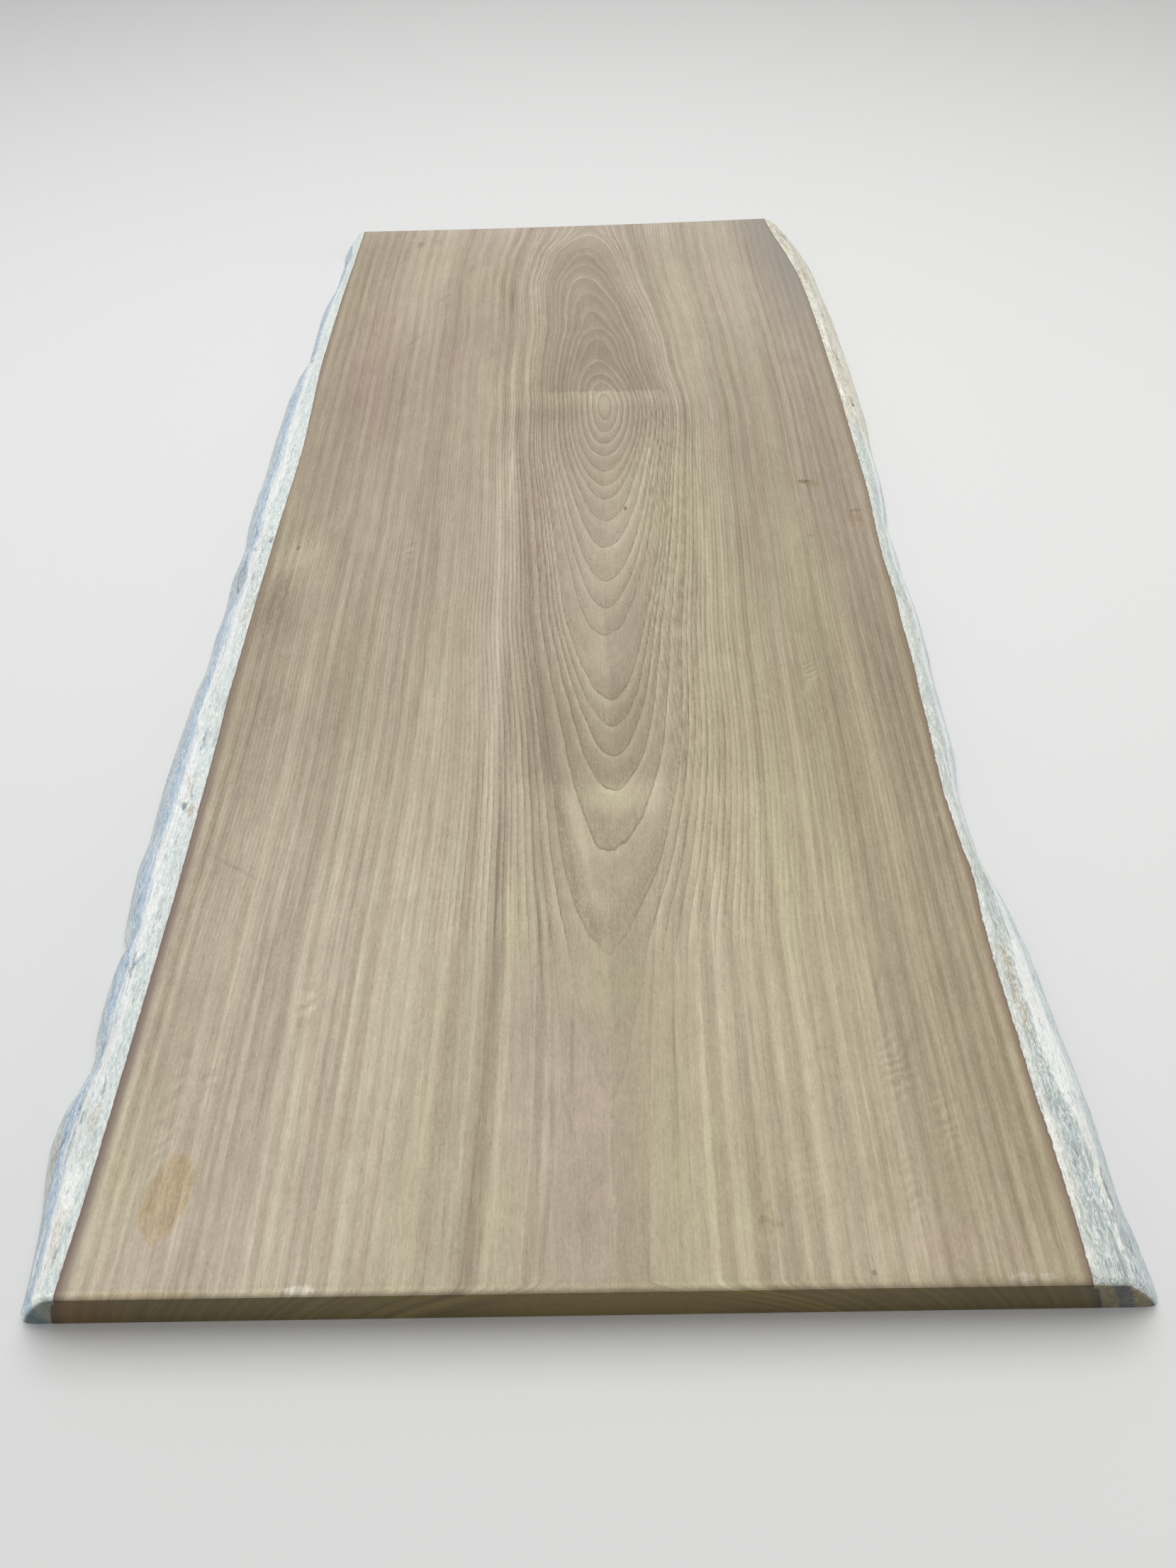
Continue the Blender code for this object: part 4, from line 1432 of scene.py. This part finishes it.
@dataclass(frozen=True)
class HeartwoodFinish:
    """Sanded heartwood: growth rings over the heart, ribbon stripes towards the edges, pores.

    Tones add up in steps of ten levels of screen brightness and are then read as a colour.
    """

    plain: Place = (179.0, 165.0, 141.0)
    step: Place = (9.7, 10.25, 9.2)
    # Tone steps: span of the step itself, span of its run along, middle and half width, and tone.
    tone_steps: tuple = (
        ((0.369, 0.377, 1, 0), (0.315, 0.352), 0.06, 0.2, 0.9),
        ((-0.548, -0.506), (-0.46, -0.3, 1, 0), 0.05, 0.3, -0.6),
        ((-0.548, -0.506, 1, 0), (-0.64, -0.55), 0.06, 0.28, 0.5),
    )
    levels: float = 4.0
    ribbon_share: float = 0.48
    narrow_share: float = 0.46
    mauve: Colour = (1.02, 0.985, 1.045, 1.0)
    olive: Colour = (0.98, 1.018, 0.945, 1.0)
    near_left: Colour = (1.075, 1.095, 1.14, 1.0)
    near_right: Colour = (0.945, 0.935, 0.885, 1.0)
    far_left: Colour = (0.935, 0.915, 0.97, 1.0)
    far_right: Colour = (0.905, 0.92, 0.97, 1.0)
    middle: Colour = (0.885, 0.88, 0.865, 1.0)
    # Painted sheen: lightens the top face over the last stretch of the far end.
    far_end: Colour = (1.13, 1.15, 1.22, 1.0)

    def rings(self, graph: Graph, offset: Socket) -> Socket:
        """Tone of the rings: each darkens outwards and ends in a dark and then a pale line.

        Args:
            graph: Where the nodes go.
            offset: Millimetres from the heart line, negative at left.

        Returns:
            The tone.
        """
        wobble = graph.waves(60, 22, 60)
        jag = graph.waves(300, 110, 300, 2, 0.6)
        width = graph.read("ring_width")
        number = graph.add(graph.read("ring"), graph.times(wobble, 0.07))
        number = graph.add(number, graph.math("DIVIDE", graph.times(jag, 0.75), width))
        phase = graph.math("FRACT", number)
        depth, pale, _ = graph.dice(graph.math("FLOOR", number))
        out = graph.times(phase, width)
        left = graph.times(graph.math("SUBTRACT", 1, phase), width)
        line_half = graph.scaled(width, 0.018, 0.75)
        speckle = graph.waves(420, 210, 420, 1)
        darker = graph.times(graph.span(phase, 0.22, 0.8), graph.span(depth, 0, 1, -0.7, -1.5))
        darker = graph.times(darker, graph.scaled(speckle, 1, 0.9))
        broken = graph.span(graph.waves(75, 38, 75, 2, 0.6), -0.8, 0.4, 0.35, 1.15)
        dark_line = graph.times(
            graph.span(graph.math("DIVIDE", left, line_half), 0.5, 2.4, 1, 0),
            graph.times(broken, graph.span(graph.y, 0.36, 0.4, -1.9, -0.9)),
        )
        pale_line = graph.times(
            graph.span(graph.math("DIVIDE", out, line_half), 1, 7, 1, 0),
            graph.span(pale, 0, 1, 0.2, 1.2),
            graph.times(broken, graph.span(graph.y, 0.36, 0.4, 1, 2.1)),
        )
        tone = graph.add(darker, dark_line, pale_line, graph.span(depth, 0, 1, 0.25, 0.75))
        away = graph.size(offset)
        outer = graph.span(away, 95, 230, 1, 0.3)
        near = graph.span(graph.y, -0.8, -0.7, 0.2, 1)
        far = graph.span(graph.y, 0.36, 0.4, 1, 0.62)
        return graph.times(tone, outer, near, far)

    def stripes(self, graph: Graph, place: Socket, flat: Socket, offset: Socket) -> Socket:
        """Tone of the ribbon stripes, drawn as one far and one near run on each side.

        Args:
            graph: Where the nodes go.
            place: Share of the way from the heart line to the arris.
            flat: Share of the way to the arris and place along the plank, as a vector.
            offset: Millimetres from the heart line, negative at left.

        Returns:
            The tone.
        """
        drift = graph.noise(graph.along(flat, 8, 2.4, 5), 1)
        near_share = graph.span(graph.add(graph.y, graph.times(drift, 0.14)), -0.16, 0.12, 1, 0)
        sides = []
        for runs in STRIPE_RUNS.values():
            far, near = (graph.curve(place, stripe_run(*run)) for run in runs)
            sides.append(graph.between(near_share, far, near))
        tone = graph.between(graph.span(offset, -30, 30), *sides)
        crisp = graph.span(tone, -0.4, 0.4, -0.75, 0.75)
        patch = graph.noise(graph.along(flat, 46, 4.2, 7), 1)
        live = graph.span(patch, -0.9, 0.8, 0.05, 1.5)
        away = graph.span(graph.size(offset), 70, 140)
        fading = graph.span(graph.y, -1, -0.2, 1.15, 0.85)
        tone = graph.add(graph.times(tone, 0.5), graph.times(crisp, 0.6))
        return graph.times(tone, live, away, fading)

    def bands(self, graph: Graph, offset: Socket) -> Socket:
        """Wide bands on both sides of the heart line near the near end.

        Args:
            graph: Where the nodes go.
            offset: Millimetres from the heart line, negative at left.

        Returns:
            The tone.
        """
        waver = graph.waves(45, 5, 45, 1)
        out = graph.add(graph.read("abreast"), graph.times(waver, 0.9))
        share = graph.math("DIVIDE", out, 160)
        side = graph.span(offset, -6, 6)
        tone = graph.between(side, graph.curve(share, BANDS_LEFT), graph.curve(share, BANDS_RIGHT))
        live = graph.noise(graph.vector(graph.times(out, 0.11), graph.times(graph.y, 3.6), 2), 1)
        near = graph.span(out, 126, 152, 1, 0)
        inside = graph.times(near, graph.span(graph.y, -0.72, -0.42, 1, 0))
        return graph.times(tone, inside, graph.span(live, -1, 0.6, 0.55, 1.1))

    def ribbons(
        self, graph: Graph, place: Socket, flat: Socket, count: float, seed: float, run: float
    ) -> tuple[Socket, Socket]:
        """One layer of ribbons: each starts crisp, softens outwards and changes along its run.

        Args:
            graph: Where the nodes go.
            place: Share of the way from the heart line to the arris.
            flat: Share of the way to the arris and place along the plank, as a vector.
            count: Ribbons from the heart line to the arris.
            seed: Chooses the layer's own ribbons.
            run: Changes in each ribbon's tone per metre.

        Returns:
            The layer's tone and its hue shift.
        """
        uneven = graph.noise(graph.along(flat, 0.33 * count, 0.5, seed), 1)
        number = graph.add(graph.times(place, count), graph.times(uneven, 0.7), 19 * seed)
        phase = graph.math("FRACT", number)
        whole = graph.math("FLOOR", number)
        tone, edge, hue = graph.dice(whole)
        spread = graph.vector(graph.times(whole, 0.731), graph.times(graph.y, run), seed)
        along = graph.noise(spread, 2, 0.6)
        body = graph.add(graph.span(tone, 0, 1, -0.9, 0.9), graph.times(along, 0.9))
        body = graph.times(body, graph.span(phase, 0.15, 1, 1, 0.3))
        line = graph.times(graph.span(phase, 0, 0.2, 1, 0), graph.span(edge, 0, 1, -1.3, 1.3))
        return graph.add(body, line), graph.add(hue, -0.5, graph.times(along, 0.3))

    def fibres(self, graph: Graph, flat: Socket, offset: Socket) -> Socket:
        """Fine streaks along the growth lines, dashes beside the heart, pore lines and speckle.

        Args:
            graph: Where the nodes go.
            flat: Share of the way to the arris and place along the plank, as a vector.
            offset: Millimetres from the heart line, negative at left.

        Returns:
            The tone.
        """
        fine = graph.noise(graph.along(flat, 300, 9, 3), 1)
        hair = graph.waves(610, 24, 610, 1)
        pores = graph.waves(560, 70, 560, 1)
        dark = graph.span(pores, 0.35, 1.05, 0, -1.4)
        pale = graph.span(pores, -1.05, -0.45, 1, 0)
        grit = graph.waves(620, 300, 620, 1)
        dashes = graph.noise(graph.vector(graph.times(offset, 0.46), graph.times(graph.y, 36), 1), 1)
        right = graph.times(
            graph.hill(offset, 84, 66),
            graph.span(graph.y, -0.62, -0.4),
            graph.span(graph.y, 0.28, 0.42, 1, 0),
        )
        left = graph.times(graph.hill(offset, -84, 42), graph.hill(graph.y, -0.06, 0.42), 0.8)
        region = graph.add(right, left, 0.22)
        dash_tone = graph.times(graph.span(dashes, -0.7, 0.7, -1, 1), region)
        return graph.add(
            graph.times(fine, 0.45),
            graph.times(hair, 0.55),
            graph.times(graph.add(dark, pale), 1.15),
            graph.times(grit, 0.85),
            graph.times(dash_tone, 1.2),
        )

    def patches(self, graph: Graph, flat: Socket) -> Socket:
        """Short cross shading of the ribbons and a fine mottle.

        Args:
            graph: Where the nodes go.
            flat: Share of the way to the arris and place along the plank, as a vector.

        Returns:
            The tone.
        """
        cross = graph.noise(graph.along(flat, 34, 18, 9), 2, 0.6)
        mottle = graph.waves(120, 62, 120, 3, 0.72)
        strength = graph.span(graph.y, -1, 0.3, 0.8, 0.4)
        return graph.add(graph.times(cross, 0.4), graph.times(mottle, strength))

    def ladders(self, graph: Graph) -> Socket:
        """Patches of short slanted bars across the grain.

        Args:
            graph: Where the nodes go.

        Returns:
            The tone.
        """
        wander = graph.waves(60, 40, 0, 1)
        pace = graph.side(46, 96)
        steps = graph.add(graph.times(graph.y, pace), graph.times(graph.x, -40), graph.times(wander, 0.6))
        bars = graph.math("SINE", graph.times(steps, 2 * math.pi))
        return graph.times(bars, graph.cover(LADDERS, 0.2, 1))

    def steps_along(self, graph: Graph) -> Socket:
        """Two tone steps across the board: dark beyond each, pale this side of it.

        Args:
            graph: Where the nodes go.

        Returns:
            The tone.
        """
        waver = graph.waves(70, 6, 0, 2)
        fringe = graph.waves(420, 14, 0, 1)
        place = graph.add(graph.y, graph.times(waver, 0.008), graph.times(fringe, 0.005))
        ring = graph.read("ring")
        far = graph.times(
            graph.span(place, 0.369, 0.377),
            graph.span(graph.y, 0.4, 1, 1, 0.35),
            graph.span(graph.add(ring, graph.times(waver, 1.2)), 9, 15, -1.15, 0),
        )
        steps = [far]
        for edge, run, middle, half, amount in self.tone_steps:
            shares = graph.span(place, *edge), graph.span(graph.y, *run), graph.hill(graph.x, middle, half)
            steps.append(graph.times(*shares, amount))
        return graph.add(*steps)

    def colour(self, graph: Graph) -> Socket:
        """Whole heartwood colour.

        Args:
            graph: Where the nodes go.

        Returns:
            The colour.
        """
        offset = graph.read("offset")
        grain = graph.read("grain")
        flat = graph.vector(grain, graph.y)
        wide, wide_hue = self.ribbons(graph, grain, flat, 44, 3, 3)
        narrow, narrow_hue = self.ribbons(graph, grain, flat, 125, 8, 6)
        hue = graph.add(graph.times(wide_hue, 0.5), graph.times(narrow_hue, 0.45), graph.read("area_hue"))
        centre = graph.span(graph.size(offset), 40, 130, 0.3, 1)
        tone = graph.add(
            graph.times(wide, centre, self.ribbon_share),
            graph.times(narrow, centre, self.narrow_share),
            self.stripes(graph, grain, flat, offset),
            self.fibres(graph, flat, offset),
            self.patches(graph, flat),
            self.rings(graph, offset),
            self.bands(graph, offset),
            self.ladders(graph),
            graph.cover(STREAKS, 0.35, 1.2),
            self.steps_along(graph),
            graph.read("area_tone"),
        )
        share = graph.scaled(tone, 0.5 / self.levels, 0.5)
        stops = []
        for level in (-1, -0.5, 0, 0.5, 1):
            screen = [p + level * self.levels * s for p, s in zip(self.plain, self.step)]
            stops.append((0.5 + 0.5 * level, linear(*screen)))
        colour = graph.ramp(share, *stops)
        side = graph.span(hue, -1.6, 1.6)
        colour = graph.mix(side, graph.dye(colour, self.mauve), graph.dye(colour, self.olive))
        return self.tinted(graph, colour)

    def tinted(self, graph: Graph, colour: Socket) -> Socket:
        """Slow change of colour over the board: paler at near left, pinker far, browner at right, and a
        painted sheen that lightens the far end.

        Args:
            graph: Where the nodes go.
            colour: The colour below.

        Returns:
            The new colour.
        """
        right = graph.span(graph.x, -0.42, 0.44)
        near = graph.mix(right, self.near_left, self.near_right)
        far = graph.mix(right, self.far_left, self.far_right)
        colour = graph.dye(colour, graph.mix(graph.span(graph.y, -1.1, 0.8), near, far))
        colour = graph.dye(colour, graph.mix(graph.hill(graph.y, -0.12, 0.92), WHITE, self.middle))
        # Painted sheen over the far end.
        return graph.dye(colour, graph.mix(graph.span(graph.y, 0.9, 1.1), WHITE, self.far_end))


@dataclass(frozen=True)
class SapwoodFinish:
    """Whitish sapwood of the natural edges: a rough felt of pale fibres over darker gaps, with painted
    cool light and shade on the outer slopes and in hollows, and painted highlights on crests.
    """

    cream: Colour = linear(218, 228, 224)
    white: Colour = linear(240, 246, 245)
    # Blue and slate are painted cool light and shade for the outer slopes; slate is also painted shade in
    # hollows.
    blue: Colour = linear(192, 213, 233)
    cool_shade_slate: Colour = linear(170, 192, 214)
    grey: Colour = linear(180, 191, 187)
    tan: Colour = linear(206, 190, 158)
    # Painted shade for a trough on the right natural edge.
    brown: Colour = linear(140, 122, 98)
    gap: Colour = linear(112, 120, 126)
    # Painted highlight for the relief's crests.
    crest_highlight: Colour = linear(246, 249, 244)
    thread: Colour = linear(252, 252, 248)

    def colour(self, graph: Graph) -> Socket:
        """Whole sapwood colour.

        Args:
            graph: Where the nodes go.

        Returns:
            The colour.
        """
        rim = graph.read("rim")
        relief = graph.read("relief")
        right = graph.side()
        flat = graph.vector(graph.add(rim, right), graph.y)
        streak = graph.noise(graph.along(flat, 13, 6.5, 0), 3, 0.6)
        patch = graph.noise(graph.along(flat, 3, 9, 4), 2)
        outward = graph.add(rim, graph.times(streak, 0.13), graph.times(patch, 0.1))
        # The white band at the knee is white sapwood lifted by a painted highlight; blue and slate beyond
        # it are painted cool light and shade on the outer slope.
        left_colour = graph.ramp(
            outward,
            (0, self.cream), (0.24, self.cream), (0.35, linear(252, 253, 252)), (0.43, self.white),
            (0.52, self.blue), (0.66, self.cool_shade_slate), (0.85, linear(196, 204, 208)),
        )
        # Right edge likewise: white knee band with a painted highlight, bluish grey outer slope as painted
        # cool light.
        right_colour = graph.ramp(
            outward,
            (0, linear(222, 225, 214)), (0.12, linear(214, 218, 208)), (0.46, linear(206, 214, 210)),
            (0.56, self.white), (0.64, linear(244, 248, 246)), (0.74, linear(214, 223, 224)),
            (0.9, linear(198, 210, 215)),
        )
        # Painted shade: grey in a trough along the right edge, strongest at the near end.
        near = graph.hill(outward, 0.33, 0.32)
        trough_shade = graph.times(near, graph.span(graph.y, -0.95, -0.55, 1, 0.3))
        right_colour = graph.mix(trough_shade, right_colour, self.grey)
        colour = graph.mix(right, left_colour, right_colour)
        border = graph.add(graph.y, graph.times(patch, 0.03), graph.times(streak, 0.035))
        far_right = graph.times(right, graph.span(border, 0.24, 0.29))
        tan_colour = graph.ramp(
            graph.scaled(streak, 0.5, 0.5),
            (0, self.brown), (0.32, self.tan), (0.7, linear(238, 234, 212)), (1, self.white),
        )
        colour = graph.mix(graph.times(far_right, 0.75), colour, tan_colour)
        smear = graph.waves(34, 13, 34, 3, 0.65)
        tan_share = graph.times(graph.span(smear, 0.28, 0.85), graph.span(rim, 0.45, 0.75, 0.7, 0.25))
        colour = graph.mix(tan_share, colour, self.tan)
        # Painted shade in the relief's hollows: slate, and brown on the far right stretch.
        hollow = graph.span(relief, -1.9, -0.25, 0.75, 0)
        colour = graph.mix(hollow, colour, graph.mix(far_right, self.cool_shade_slate, self.brown))
        # Painted highlight on the relief's raised crests.
        crest_highlight = graph.span(relief, 0.35, 1.4, 0, 0.6)
        colour = graph.mix(crest_highlight, colour, self.crest_highlight)
        fringe = graph.waves(170, 60, 170, 2, 0.6)
        for paint, group in EDGE_MARKS.items():
            colour = graph.mix(graph.cover(group, *BLOT_BORDER, fringe), colour, paint)
        return self.felt(graph, colour, rim)

    def felt(self, graph: Graph, colour: Socket, rim: Socket) -> Socket:
        """Lay fine pale threads and dark gaps between them over a colour.

        Args:
            graph: Where the nodes go.
            colour: The colour below.
            rim: Place across the natural edge, 0 at the arris and 1 outermost.

        Returns:
            The new colour.
        """
        ridge = graph.size(graph.waves(230, 44, 230, 2, 0.6, 1))
        gaps = graph.waves(250, 36, 250, 3, 0.7, 0.6)
        specks = graph.waves(560, 200, 560, 2, 0.6)
        thread = graph.span(ridge, 0, 0.2, 0.65, 0)
        colour = graph.mix(thread, colour, self.thread)
        dark = graph.times(graph.span(gaps, 0.05, 0.85), graph.span(rim, 0.3, 0.6, 0.6, 0.8))
        colour = graph.mix(dark, colour, self.gap)
        level = graph.add(graph.times(specks, 0.14), graph.times(ridge, -0.2), 1.07)
        return graph.dye(colour, graph.grey(level))


@dataclass(frozen=True)
class IrokoFinish:
    """The plank's whole finish: heartwood, sapwood, cut ends and small marks."""

    heart: HeartwoodFinish = HeartwoodFinish()
    sapwood: SapwoodFinish = SapwoodFinish()
    left_mauve: Colour = linear(126, 109, 100)
    right_brown: Colour = linear(138, 114, 94)
    right_plum: Colour = linear(152, 146, 138)
    arris_dark: Colour = linear(118, 98, 88)
    end_left_sap: Colour = linear(140, 144, 138)
    end_right_sap: Colour = linear(118, 115, 116)
    end_tan: Colour = linear(164, 148, 118)
    end_corner: Colour = (1.2, 0.88, 0.5, 1.0)
    end_middle: Colour = (1.55, 1.58, 1.35, 1.0)
    # Painted highlight on the near end's rounded edge.
    lip_painted_highlight: Colour = (1.3, 1.33, 1.28, 1.0)
    heart_roughness: float = 0.56
    sap_roughness: float = 0.72
    specular: float = 0.35
    bump_strength: float = 0.8
    bump_height: float = 0.0012

    def marks(self, graph: Graph, colour: Socket) -> Socket:
        """Lay the stain, small knots, smudges and painted glints (highlights on the near roundover) over a
        colour, on the top face only.

        Args:
            graph: Where the nodes go.
            colour: The colour below.

        Returns:
            The new colour.
        """
        on_top = graph.span(graph.z, 0.055, 0.061)
        ragged = graph.waves(210, 75, 0, 2, 0.6)
        pores = graph.scaled(graph.waves(430, 70, 0, 3, 0.7), 0.3, 1)
        for tint, group in BLOTS.items():
            share = graph.times(graph.cover(group, *BLOT_BORDER, ragged), on_top)
            tinted = graph.dye(colour, tint)
            if tint == OCHRE:
                tinted = graph.dye(tinted, graph.grey(pores))
            colour = graph.mix(share, colour, tinted)
        return colour

    def borders(self, graph: Graph, colour: Socket, border: Socket) -> Socket:
        """Darken the heartwood beside the arrises: mauve at left, brown or plum at right.

        Args:
            graph: Where the nodes go.
            colour: The colour below.
            border: Millimetres beyond the ragged line where sapwood starts.

        Returns:
            The new colour.
        """
        left = graph.side(1, 0)
        run = graph.waves(10, 14, 0, 2)
        beside = graph.span(border, -15, -0.5)
        along = graph.span(graph.add(graph.y, graph.times(run, 0.08)), -0.95, 0.1, 0.95, 0.25)
        colour = graph.mix(graph.times(left, beside, along), colour, self.left_mauve)
        right = graph.side()
        beside = graph.span(border, -11, -0.5)
        along = graph.span(graph.add(graph.y, graph.times(run, 0.08)), -0.6, -0.1, 0.8, 0.4)
        colour = graph.mix(graph.times(right, beside, along), colour, self.right_brown)
        right = graph.span(graph.x, 0.1, 0.2)
        beside = graph.span(border, -115, -4)
        along = graph.span(graph.y, 0.3, 0.9)
        colour = graph.mix(graph.times(right, beside, along, 0.75), colour, self.right_plum)
        line = graph.span(border, -2.4, -0.6, 0, 0.75)
        return graph.mix(line, colour, self.arris_dark)

    def end_grain_and_shade_factor(self, graph: Graph, border: Socket) -> Socket:
        """Factor that darkens the cut ends, partly darker end grain and partly painted shade: olive
        heartwood with growth lines, grey sapwood.

        Args:
            graph: Where the nodes go.
            border: Millimetres beyond the ragged line where sapwood starts.

        Returns:
            The factor, as a colour.
        """
        cloud = graph.waves(16, 0, 45, 3, 0.6)
        phase = graph.math("FRACT", graph.times(graph.read("ring"), 0.5))
        lines = graph.times(graph.hill(phase, 0.5, 0.3), -0.12)
        level = graph.add(graph.times(cloud, 0.12), lines, 0.5)
        dark, plain, light = linear(106, 100, 60), linear(132, 123, 74), linear(160, 152, 98)
        wood = graph.ramp(level, (0, dark), (0.5, plain), (1, light))
        on_right = graph.span(graph.x, 0.1, 0.2)
        from_lines = graph.size(graph.add(graph.size(graph.add(border, -22)), -14))
        tan = graph.times(on_right, graph.span(from_lines, 5, 9, 1, 0))
        sap = graph.mix(tan, graph.mix(graph.side(), self.end_left_sap, self.end_right_sap), self.end_tan)
        corner = graph.span(graph.x, -0.43, -0.36, 1, 0)
        wood = graph.mix(corner, wood, graph.dye(wood, self.end_corner))
        wood = graph.mix(graph.hill(graph.x, 0.04, 0.42), wood, graph.dye(wood, self.end_middle))
        return graph.mix(graph.span(border, -1, 1), wood, sap)

    def material(self) -> bpy.types.Material:
        """Build the material.

        Returns:
            The material, with all of its nodes.
        """
        made = bpy.data.materials.new("iroko_wood")
        made.use_nodes = True
        shader = made.node_tree.nodes["Principled BSDF"]
        graph = Graph(made.node_tree)
        rugged = graph.waves(90, 140, 90, 3, 0.6)
        teeth = graph.side(0.6, 1.3)
        border = graph.add(graph.read("sap"), graph.times(rugged, teeth))
        colour = self.marks(graph, self.heart.colour(graph))
        colour = self.borders(graph, colour, border)
        sap_share = graph.span(border, -0.5, 0.4)
        colour = graph.mix(sap_share, colour, self.sapwood.colour(graph))

        normal = graph.node("NewGeometry").outputs["True Normal"]
        facing = graph.size(graph.split(normal)[1])
        turned = graph.size(graph.split(graph.node("NewGeometry").outputs["Normal"])[1])
        # Painted highlight: the rounded edge of the near end is lightened where it turns towards the
        # light, more at left.
        lip = graph.times(graph.hill(turned, 0.5, 0.45), graph.span(graph.x, 0.1, 0.4, 1, 0.1))
        colour = graph.mix(lip, colour, graph.dye(colour, self.lip_painted_highlight))
        # The cut ends get their own darker end-grain colour plus painted shade.
        cut = graph.span(facing, 0.8, 0.97)
        end_grain_and_painted_shade = graph.dye(colour, self.end_grain_and_shade_factor(graph, border))
        graph.plug(shader.inputs["Base Color"], graph.mix(cut, colour, end_grain_and_painted_shade))

        roughness = graph.between(sap_share, self.heart_roughness, self.sap_roughness)
        graph.plug(shader.inputs["Roughness"], roughness)
        graph.plug(shader.inputs["Normal"], self.bump(graph, sap_share))
        shader.inputs["Specular IOR Level"].default_value = self.specular
        return made

    def bump(self, graph: Graph, sap_share: Socket) -> Socket:
        """Fine bump: pore lines on the heartwood, fibres and pebbling on the sapwood.

        Args:
            graph: Where the nodes go.
            sap_share: 0 on the heartwood, 1 on the sapwood.

        Returns:
            The bent normal.
        """
        pores = graph.waves(560, 60, 560, 1)
        pebbles = graph.waves(260, 150, 260, 3, 0.62)
        threads = graph.waves(240, 60, 240, 3, 0.65)
        rough = graph.add(graph.times(pebbles, 0.9), graph.times(threads, 1.1))
        height = graph.between(sap_share, graph.times(pores, 0.05), rough)
        values = {"Strength": self.bump_strength, "Distance": self.bump_height, "Height": height}
        return graph.node("Bump", values).outputs["Normal"]


@dataclass(frozen=True)
class Lamp:
    """A soft area light: place, size and power, aimed at the plank's middle."""

    name: str
    place: Place
    size: float
    watts: float
    tint: Place = (1.0, 1.0, 1.0)


@dataclass
class Studio:
    """Pale floor, even surrounding light and soft lamps."""

    floor_half: float = 30.0
    floor_height: float = -0.0004
    floor_colour: Colour = (0.78, 0.78, 0.77, 1.0)
    floor_roughness: float = 0.9
    sky: float = 0.36
    lamps: tuple[Lamp, ...] = (
        Lamp("overhead", (0.1, 0.9, 4.2), 3.6, 128.0),
        Lamp("left_fill", (-3.4, -0.2, 2.4), 2.6, 24.0, (0.92, 0.96, 1.0)),
        Lamp("right_fill", (3.2, -0.9, 1.5), 2.0, 17.0),
    )

    def build(self) -> None:
        """Make the floor, the sky and the lamps."""
        mesh = bpy.data.meshes.new("floor")
        half = self.floor_half
        around = ((-half, -half), (half, -half), (half, half), (-half, half))
        mesh.from_pydata([(*corner, self.floor_height) for corner in around], [], [(0, 1, 2, 3)])
        floor = bpy.data.objects.new("floor", mesh)
        bpy.context.scene.collection.objects.link(floor)
        finish = bpy.data.materials.new("pale_floor")
        finish.use_nodes = True
        shader = finish.node_tree.nodes["Principled BSDF"]
        shader.inputs["Base Color"].default_value = self.floor_colour
        shader.inputs["Roughness"].default_value = self.floor_roughness
        mesh.materials.append(finish)

        world = bpy.data.worlds.new("studio")
        world.use_nodes = True
        background = world.node_tree.nodes["Background"]
        background.inputs["Color"].default_value = WHITE
        background.inputs["Strength"].default_value = self.sky
        bpy.context.scene.world = world
        bpy.context.scene.view_settings.view_transform = "Standard"
        for lamp in self.lamps:
            self.hang(lamp)

    def hang(self, lamp: Lamp) -> None:
        """Make one lamp, turned towards the plank's middle.

        Args:
            lamp: Its place, size and power.
        """
        light = bpy.data.lights.new(lamp.name, "AREA")
        light.shape = "SQUARE"
        light.size = lamp.size
        light.energy = lamp.watts
        light.color = lamp.tint
        made = bpy.data.objects.new(lamp.name, light)
        made.location = lamp.place
        away = made.location.normalized()
        made.rotation_mode = "QUATERNION"
        made.rotation_quaternion = away.to_track_quat("Z", "Y")
        bpy.context.scene.collection.objects.link(made)


@dataclass(frozen=True)
class Viewpoint:
    """The camera: a little above the near end, looking down along the plank."""

    place: Place = (0.0153, -1.4256, 1.036)
    right: Place = (0.99983, -0.01351, -0.01237)
    up: Place = (0.0183, 0.7373, 0.6753)
    forward: Place = (0.0, 0.6754, -0.7374)
    lens: float = 26.04
    sensor: float = 36.0
    seen: tuple[float, float] = (0.05, 200.0)

    def build(self) -> None:
        """Make the camera and use it."""
        data = bpy.data.cameras.new("camera")
        data.sensor_width = self.sensor
        data.lens = self.lens
        data.clip_start, data.clip_end = self.seen
        camera = bpy.data.objects.new("camera", data)
        back = [-part for part in self.forward]
        columns = Matrix((self.right, self.up, back)).transposed().to_4x4()
        camera.matrix_world = Matrix.Translation(self.place) @ columns
        bpy.context.scene.collection.objects.link(camera)
        bpy.context.scene.camera = camera


def main() -> None:
    """Build the plank, its studio and the camera."""
    logging.basicConfig(level=logging.INFO)
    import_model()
    drawing = SlabDrawing()
    plank = PlankBuilder(drawing, Growth(drawing)).build()
    plank.data.materials.append(IrokoFinish().material())
    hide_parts("plank")
    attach(plank, "root")
    LOG.info("plank_wood: %d faces", len(plank.data.polygons))
    Studio().build()
    LOG.info("studio: floor and lamps")
    Viewpoint().build()
    LOG.info("camera: set")


if __name__ == "__main__":
    main()
